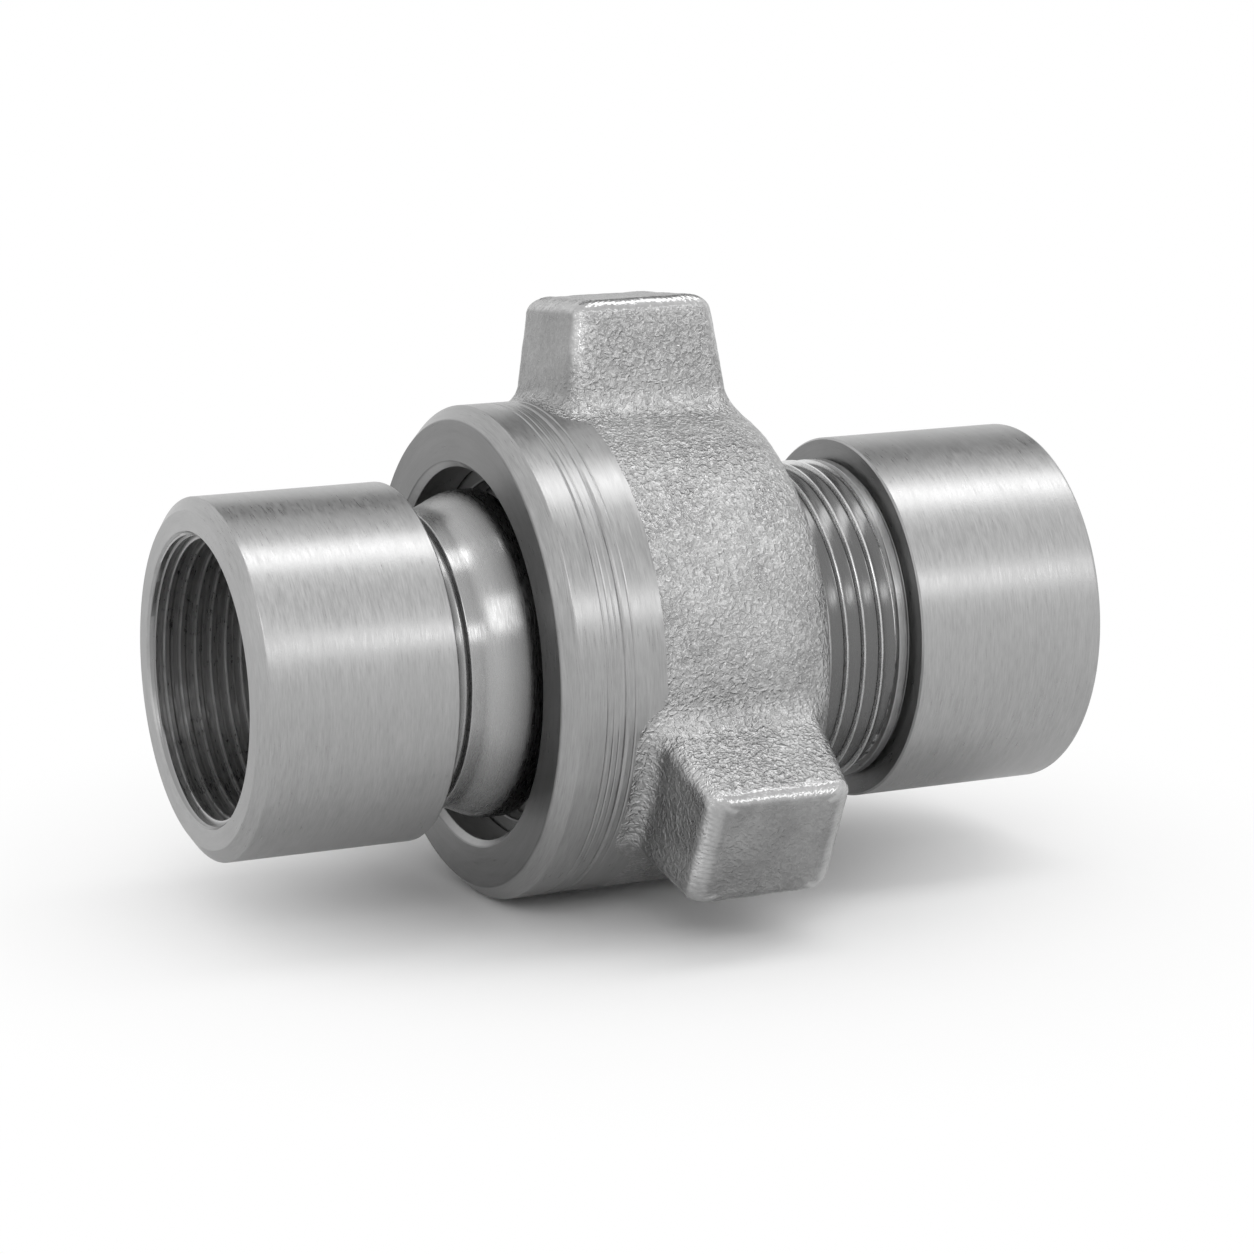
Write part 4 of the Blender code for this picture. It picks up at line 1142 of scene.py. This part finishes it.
# %% Forged steel
FOLD_SCALE, GRAIN_SCALE, PATCH_SCALE, GRAIN_SHARE, FOLD_DEPTH = 950.0, 2100.0, 90.0, 0.3, 0.0006
TIP_START, TIP_END, FORWARD_SPAN = 0.0693, 0.0703, (-0.95, -0.75)
SKIN_TONES, SKIN_ROUGHNESS, EDGE_HIGHLIGHT_FROM, PAINTED_EDGE_HIGHLIGHT = (0.34, 0.42), (0.26, 0.32), 0.45, 0.16
FOLD_SPAN, PAINTED_FOLD_LIGHT, TRIMMED_FOLDS = (0.55, 0.8), (-0.04, 0.08), 0.3
DARKER_TIPS_AND_FORWARD_SHADE, WORN_SMOOTHER, WORN_FLAT, TRIMMED_FLATTER = 0.09, 0.08, 0.6, 0.4


def forged_steel(name):
    """Raw forged skin with short curved folds and bright worn edges."""
    material, tree, shader = new_material(name)
    local, _along, radius = lathe_coordinates(tree)[:3]
    wear_and_highlight = add_node(tree, "ShaderNodeAttribute", attribute_name="wear_and_highlight").outputs["Fac"]
    folds = noise_field(local, FOLD_SCALE, 1.5, roughness=0.5, distortion=0.9)
    grain = noise_field(local, GRAIN_SCALE, 2.0, distortion=0.6)
    patches = noise_field(local, PATCH_SCALE, 3.0)
    height = add(folds, times(grain, GRAIN_SHARE))
    normal = add_node(tree, "ShaderNodeTexCoord").outputs["Normal"]
    facing = add_node(tree, "ShaderNodeSeparateXYZ", {0: normal}).outputs[0]
    trimmed_and_shaded = calc("MAXIMUM", ramp(radius, TIP_START, TIP_END), ramp(facing, *FORWARD_SPAN, 1.0, 0.0))
    # Painted highlight: worn edges are painted brighter.
    tone = add(ramp(patches, NOISE_LOW, NOISE_HIGH, *SKIN_TONES),
               ramp(wear_and_highlight, EDGE_HIGHLIGHT_FROM, 1.0, 0.0, PAINTED_EDGE_HIGHLIGHT))
    # Painted highlight and shade: the fold crests are brighter and their hollows darker.
    tone = add(tone, times(ramp(height, *FOLD_SPAN, *PAINTED_FOLD_LIGHT),
                           ramp(trimmed_and_shaded, 0.0, 1.0, 1.0, TRIMMED_FOLDS)))
    # Painted shade on the faces that look forward; the tips are painted darker too.
    paint_grey(tree, shader, minus(tone, times(trimmed_and_shaded, DARKER_TIPS_AND_FORWARD_SHADE)))
    roughness = minus(ramp(patches, NOISE_LOW, NOISE_HIGH, *SKIN_ROUGHNESS), times(wear_and_highlight, WORN_SMOOTHER))
    tree.links.new(roughness, shader.inputs["Roughness"])
    strength = minus(ramp(wear_and_highlight, 0.0, 1.0, 1.0, WORN_FLAT), times(trimmed_and_shaded, TRIMMED_FLATTER))
    raise_bump(tree, shader, height, FOLD_DEPTH, strength)
    shader.inputs["Metallic"].default_value = 1.0
    return material


skin_steel = forged_steel("raw forged steel of the nut")
# Painted shade: the band steel is darker on the nut's front face.
band_steel = turned_steel("turned steel of the nut", 0.36, 0.36, 0.00003, fineness=3400.0, contrast=0.2,
                          painted_shade_bands=((-85.66, -85.3, 0.55, 1.0),))
print("made", skin_steel.name, "and", band_steel.name)

# %% [markdown]
# The faces take their steel from where they lie: turned in front of the line
# and on the thread, and forged on the skin and the wings.

# %% Assemble the wing nut
def split_skin(mesh):
    """Give the faces behind the turned band the forged steel."""
    forged = [item.value for item in mesh.attributes["forged"].data]
    for face in mesh.polygons:
        face.material_index = int(sum(forged[corner] for corner in face.vertices) > 2.5)
    return mesh, None


nut_parts = [(nut_front, 0), (nut_thread, 2)]
nut_parts += [split_skin(mesh) for mesh in [nut_back] + skin_strips + wing_meshes]
wing_nut = join_piece("wing_nut_forged", nut_parts, [band_steel, skin_steel, thread_steel], roughen_forging)
finish_piece(wing_nut, "nut", "wing_nut")

# %% [markdown]
# ## Pieces inside the nut
# Three segments lie round the male sub's shank and carry the nut's pull, and a
# split ring in a groove of the bore keeps them in. A rubber lip ring in the
# female sub's mouth seals against the ball. They are spun over a part of the
# circle, with the ends of each piece drawn in a little so that no end is sharp.

# %% Spin a part of a ring
END_INSET, DRAWN_IN = 0.3, 0.12


def closed_outline(corners, steps=3):
    """Softened outline whose last corner joins the first."""
    looped = soften([corners[-1][:2] + (0,)] + corners + [corners[0][:2] + (0,)], steps)
    return looped[1:-1]


def ring_part(outline, start, end, steps):
    """Mesh of a closed outline spun from start to end, with its ends capped."""
    closed = outline + outline[:1]
    grid = spun_grid(closed, steps, start, end)
    middle = np.array([sum(x for x, r in outline), sum(r for x, r in outline)]) / len(outline)
    drawn_in = [(x + (middle[0] - x) * DRAWN_IN, r + (middle[1] - r) * DRAWN_IN) for x, r in closed]
    angle = END_INSET / middle[1]
    first = spun_grid(drawn_in, 1, start, start + 1)[:, :1]
    second = spun_grid(closed, 1, start + angle, end)[:, :1]
    before_last = spun_grid(closed, 1, end - angle, end)[:, :1]
    last = spun_grid(drawn_in, 1, end, end + 1)[:, :1]
    grid = np.concatenate([first, second, grid[:, 1:-1], before_last, last], axis=1)
    mesh = grid_mesh("ring part", grid)
    rows, columns = grid.shape[:2]
    bm = bmesh.new()
    bm.from_mesh(mesh)
    bm.verts.ensure_lookup_table()
    for column in (0, columns - 1):
        bm.faces.new([bm.verts[row * columns + column] for row in range(rows - 1)])
    bm.to_mesh(mesh)
    bm.free()
    return mesh


print("the ends of a ring part are drawn in over", END_INSET, "mm")

# %% [markdown]
# The segments are milled from a ring that was cut in three, and the saw left a
# gap between them. The split ring is spring steel, blued by its tempering, and
# its opening is wide enough for the pliers that squeeze it into the groove.

# %% Segments and split ring
SEGMENT_FRONT, SEGMENT_BACK, SEGMENT_BORE, SEGMENT_RADIUS = -71.8, -63.3, 29.1, 37.8
SEGMENT_GAP, SEGMENT_STEPS = 2.3, 60
RING_FRONT, RING_BACK, RING_BORE, RING_RADIUS = -76.1, -72.1, 34.9, 40.7
RING_OPENING, RING_STEPS = 10.0, 200
milled_steel = turned_steel("milled steel of the segments", 0.42, 0.34, 0.00001)
spring_steel = turned_steel("blued spring steel", 0.2, 0.36, 0.000006)
segment_outline = closed_outline([
    (SEGMENT_FRONT, SEGMENT_BORE, 0.5), (SEGMENT_FRONT, SEGMENT_RADIUS, 0.5),
    (SEGMENT_BACK, SEGMENT_RADIUS, 0.5), (SEGMENT_BACK, SEGMENT_BORE, 1.0),
])
half_gap = SEGMENT_GAP / SEGMENT_BORE / 2
for number in range(3):
    start, end = math.tau * number / 3 + half_gap, math.tau * (number + 1) / 3 - half_gap
    segment_mesh = ring_part(segment_outline, start, end, SEGMENT_STEPS)
    segment = join_piece(f"segment_{number + 1}_milled", [(segment_mesh, 0)], [milled_steel])
    finish_piece(segment, "retainer", f"retainer_segment_{number + 1}")
ring_outline = closed_outline([
    (RING_FRONT, RING_BORE, 0.5), (RING_FRONT, RING_RADIUS, 0.5),
    (RING_BACK, RING_RADIUS, 0.5), (RING_BACK, RING_BORE, 0.5),
])
half_split = RING_OPENING / RING_RADIUS / 2
ring_mesh = ring_part(ring_outline, math.pi / 2 + half_split, math.pi / 2 + math.tau - half_split, RING_STEPS)
split_ring = join_piece("snap_ring_blued", [(ring_mesh, 0)], [spring_steel])
finish_piece(split_ring, "retainer", "snap_ring")

# %% [markdown]
# The seal ring is moulded from black nitrile rubber, which oil doesn't harm.
# Rubber is dull and nearly black, with a fine grain from its mould.

# %% Seal ring
SEAL_FRONT, SEAL_BACK, SEAL_LIP = -38.4, -33.5, 1.0
SEAL_BORE, SEAL_RADIUS, SEAL_STEPS = 27.3, 30.0, 180
RUBBER_SCALE, RUBBER_TONES, RUBBER_ROUGHNESS, RUBBER_RELIEF = 900.0, (0.018, 0.032), (0.45, 0.6), 0.00003


def rubber(name):
    """Black nitrile rubber with a fine moulded grain."""
    material, tree, shader = new_material(name)
    grain = noise_field(lathe_coordinates(tree)[0], RUBBER_SCALE, 3.0)
    paint_grey(tree, shader, ramp(grain, NOISE_LOW, NOISE_HIGH, *RUBBER_TONES))
    tree.links.new(ramp(grain, NOISE_LOW, NOISE_HIGH, *RUBBER_ROUGHNESS), shader.inputs["Roughness"])
    raise_bump(tree, shader, grain, RUBBER_RELIEF)
    return material


seal_outline = closed_outline([
    (SEAL_FRONT, SEAL_RADIUS - SEAL_LIP, 0.2), (SEAL_FRONT + SEAL_LIP, SEAL_RADIUS, 0.4),
    (SEAL_BACK, SEAL_RADIUS, 0.3), (SEAL_BACK, SEAL_BORE, 0.3),
    (SEAL_FRONT + SEAL_LIP, SEAL_BORE, 0.4), (SEAL_FRONT, SEAL_BORE + SEAL_LIP, 0.2),
])
seal_mesh = grid_mesh("seal", spun_grid(seal_outline + seal_outline[:1], SEAL_STEPS))
seal = join_piece("seal_ring_moulded", [(seal_mesh, 0)], [rubber("black nitrile rubber")])
finish_piece(seal, "female", "seal_ring")

# %% [markdown]
# ## Floor, backdrop and light
# The union lies on a wide sheet of white paper. A product photographer lights
# such paper so strongly that it turns plain white a little way off, and only
# the soft shadow near the object stays. So the paper shines by itself where
# the camera, or the steel, sees it far from the union. Near the union it is
# matt paper with a real shadow.

# %% Floor
FLOOR_Z, SPAN = cad_box[0][2], 6.0
PAPER_SHADE, PAPER_GRAIN, GRAIN_FINENESS, MATT = 0.93, 0.004, 300.0, 0.9
FADE_NEAR, FADE_FAR, FADE_MIRRORED = (0.04, 0.12, 0.0, 0.6), (0.08, 0.17, 0.0, 0.4), (0.1, 0.7)


def add_sheet(name, corners, material):
    """Flat sheet of the studio."""
    mesh = bpy.data.meshes.new(name)
    mesh.from_pydata(corners, [], [(0, 1, 2, 3)])
    mesh.materials.append(material)
    sheet = bpy.data.objects.new(name, mesh)
    bpy.context.scene.collection.objects.link(sheet)
    return sheet


def plain_paper(name, shade):
    """Matt paper with a faint grain, plain white where it lies far away."""
    material, tree, shader = new_material(name)
    grain = add_node(tree, "ShaderNodeTexNoise", {"Scale": GRAIN_FINENESS}).outputs[0]
    tone = ramp(grain, NOISE_LOW, NOISE_HIGH, shade - PAPER_GRAIN, shade + PAPER_GRAIN)
    paint_grey(tree, shader, tone)
    shader.inputs["Roughness"].default_value = MATT
    shader.inputs["Specular IOR Level"].default_value = 0.0
    path = add_node(tree, "ShaderNodeLightPath").outputs
    mirrored = calc("MAXIMUM", path["Is Glossy Ray"], path["Is Transmission Ray"])
    place = add_node(tree, "ShaderNodeTexCoord").outputs["Object"]
    away = add_node(tree, "ShaderNodeVectorMath", {0: place}, operation="LENGTH").outputs["Value"]
    white = add_node(tree, "ShaderNodeEmission", {"Color": (1, 1, 1, 1), "Strength": 1.0}).outputs[0]
    seen = add(ramp(away, *FADE_NEAR), ramp(away, *FADE_FAR))
    share = add(times(path["Is Camera Ray"], seen), times(mirrored, ramp(away, *FADE_MIRRORED)))
    mixed = add_node(tree, "ShaderNodeMixShader", {0: share, 1: shader.outputs[0], 2: white}).outputs[0]
    tree.links.new(mixed, tree.nodes["Material Output"].inputs["Surface"])
    return material


add_sheet("floor", [(-SPAN, -SPAN, FLOOR_Z), (SPAN, -SPAN, FLOOR_Z), (SPAN, SPAN, FLOOR_Z),
                    (-SPAN, SPAN, FLOOR_Z)], plain_paper("white paper", PAPER_SHADE))
print("the paper lies at", round(FLOOR_Z / MM, 2), "mm")

# %% [markdown]
# The white room is one even world. The camera and the steel see it as white,
# and matt surfaces get a little less of it, so that the paper doesn't clip.

# %% World
SEEN_WHITE, LIGHTING = 1.0, 0.74


def add_world(seen, lighting):
    """World that is white where it is seen and a softer light for matt surfaces."""
    world = bpy.data.worlds.new("white studio")
    bpy.context.scene.world = world
    world.use_nodes = True
    tree = world.node_tree
    path = add_node(tree, "ShaderNodeLightPath").outputs
    shown = calc("MAXIMUM", path["Is Camera Ray"],
                 calc("MAXIMUM", path["Is Glossy Ray"], path["Is Transmission Ray"]))
    tree.links.new(ramp(shown, 0.0, 1.0, lighting, seen, False), tree.nodes["Background"].inputs["Strength"])
    tree.nodes["Background"].inputs["Color"].default_value = (1, 1, 1, 1)


add_world(SEEN_WHITE, LIGHTING)
bpy.context.scene.view_settings.view_transform = "Standard"
print("the room lights matt surfaces with", LIGHTING, "of its white")

# %% [markdown]
# Three softboxes draw the bright bands along the turned steel: one overhead,
# one low beside the camera and one on the left. A grey flag behind the union
# sets a darker band between them. Each box is turned with its long side along
# the union, because a barrel mirrors a long box as a long band. Box and flag
# are (azimuth, elevation, distance, width, height), in degrees and metres.

# %% Softboxes and flag
SOFTBOXES = (("overhead softbox", (94, 70, 1.3, 1.3, 0.34), 2.8),
             ("front softbox", (156, 26, 1.5, 0.9, 0.24), 2.6),
             ("left softbox", (212, 35, 1.4, 0.6, 0.55), 2.2))
BACK_FLAG, FLAG_GREY = (30, 42, 1.4, 1.0, 0.55), 0.28


def direction(azimuth, elevation):
    """Direction from the union, with both angles in degrees."""
    azimuth, elevation = math.radians(azimuth), math.radians(elevation)
    return Vector((math.sin(azimuth) * math.cos(elevation), math.cos(azimuth) * math.cos(elevation),
                   math.sin(elevation)))


def add_softbox(name, place, radiance):
    """Area light that faces the union, of one brightness."""
    azimuth, elevation, distance, width, height = place
    away = direction(azimuth, elevation)
    data = bpy.data.lights.new(name, "AREA")
    data.shape = "RECTANGLE"
    data.size, data.size_y = width, height
    data.energy = radiance * math.pi * width * height
    light = bpy.data.objects.new(name, data)
    light.location = AXIS + away * distance
    side = Vector((1, 0, 0)) - away * away.x
    side.normalize()
    light.rotation_euler = Matrix((side, away.cross(side), away)).transposed().to_euler()
    bpy.context.scene.collection.objects.link(light)


def add_flag(name, place, grey):
    """Dark card that dims what the steel mirrors there."""
    azimuth, elevation, distance, width, height = place
    away = direction(azimuth, elevation)
    side = away.cross(Vector((0, 0, 1))).normalized() * width / 2
    rise = side.cross(away).normalized() * height / 2
    middle = AXIS + away * distance
    corners = [middle - side - rise, middle + side - rise, middle + side + rise, middle - side + rise]
    cloth, _tree, shader = new_material("grey flag cloth")
    shader.inputs["Base Color"].default_value = (grey, grey, grey, 1)
    shader.inputs["Roughness"].default_value = MATT
    add_sheet(name, corners, cloth)


for name, place, radiance in SOFTBOXES:
    add_softbox(name, place, radiance)
add_flag("back flag", BACK_FLAG, FLAG_GREY)
print("placed", len(SOFTBOXES), "softboxes and a flag")
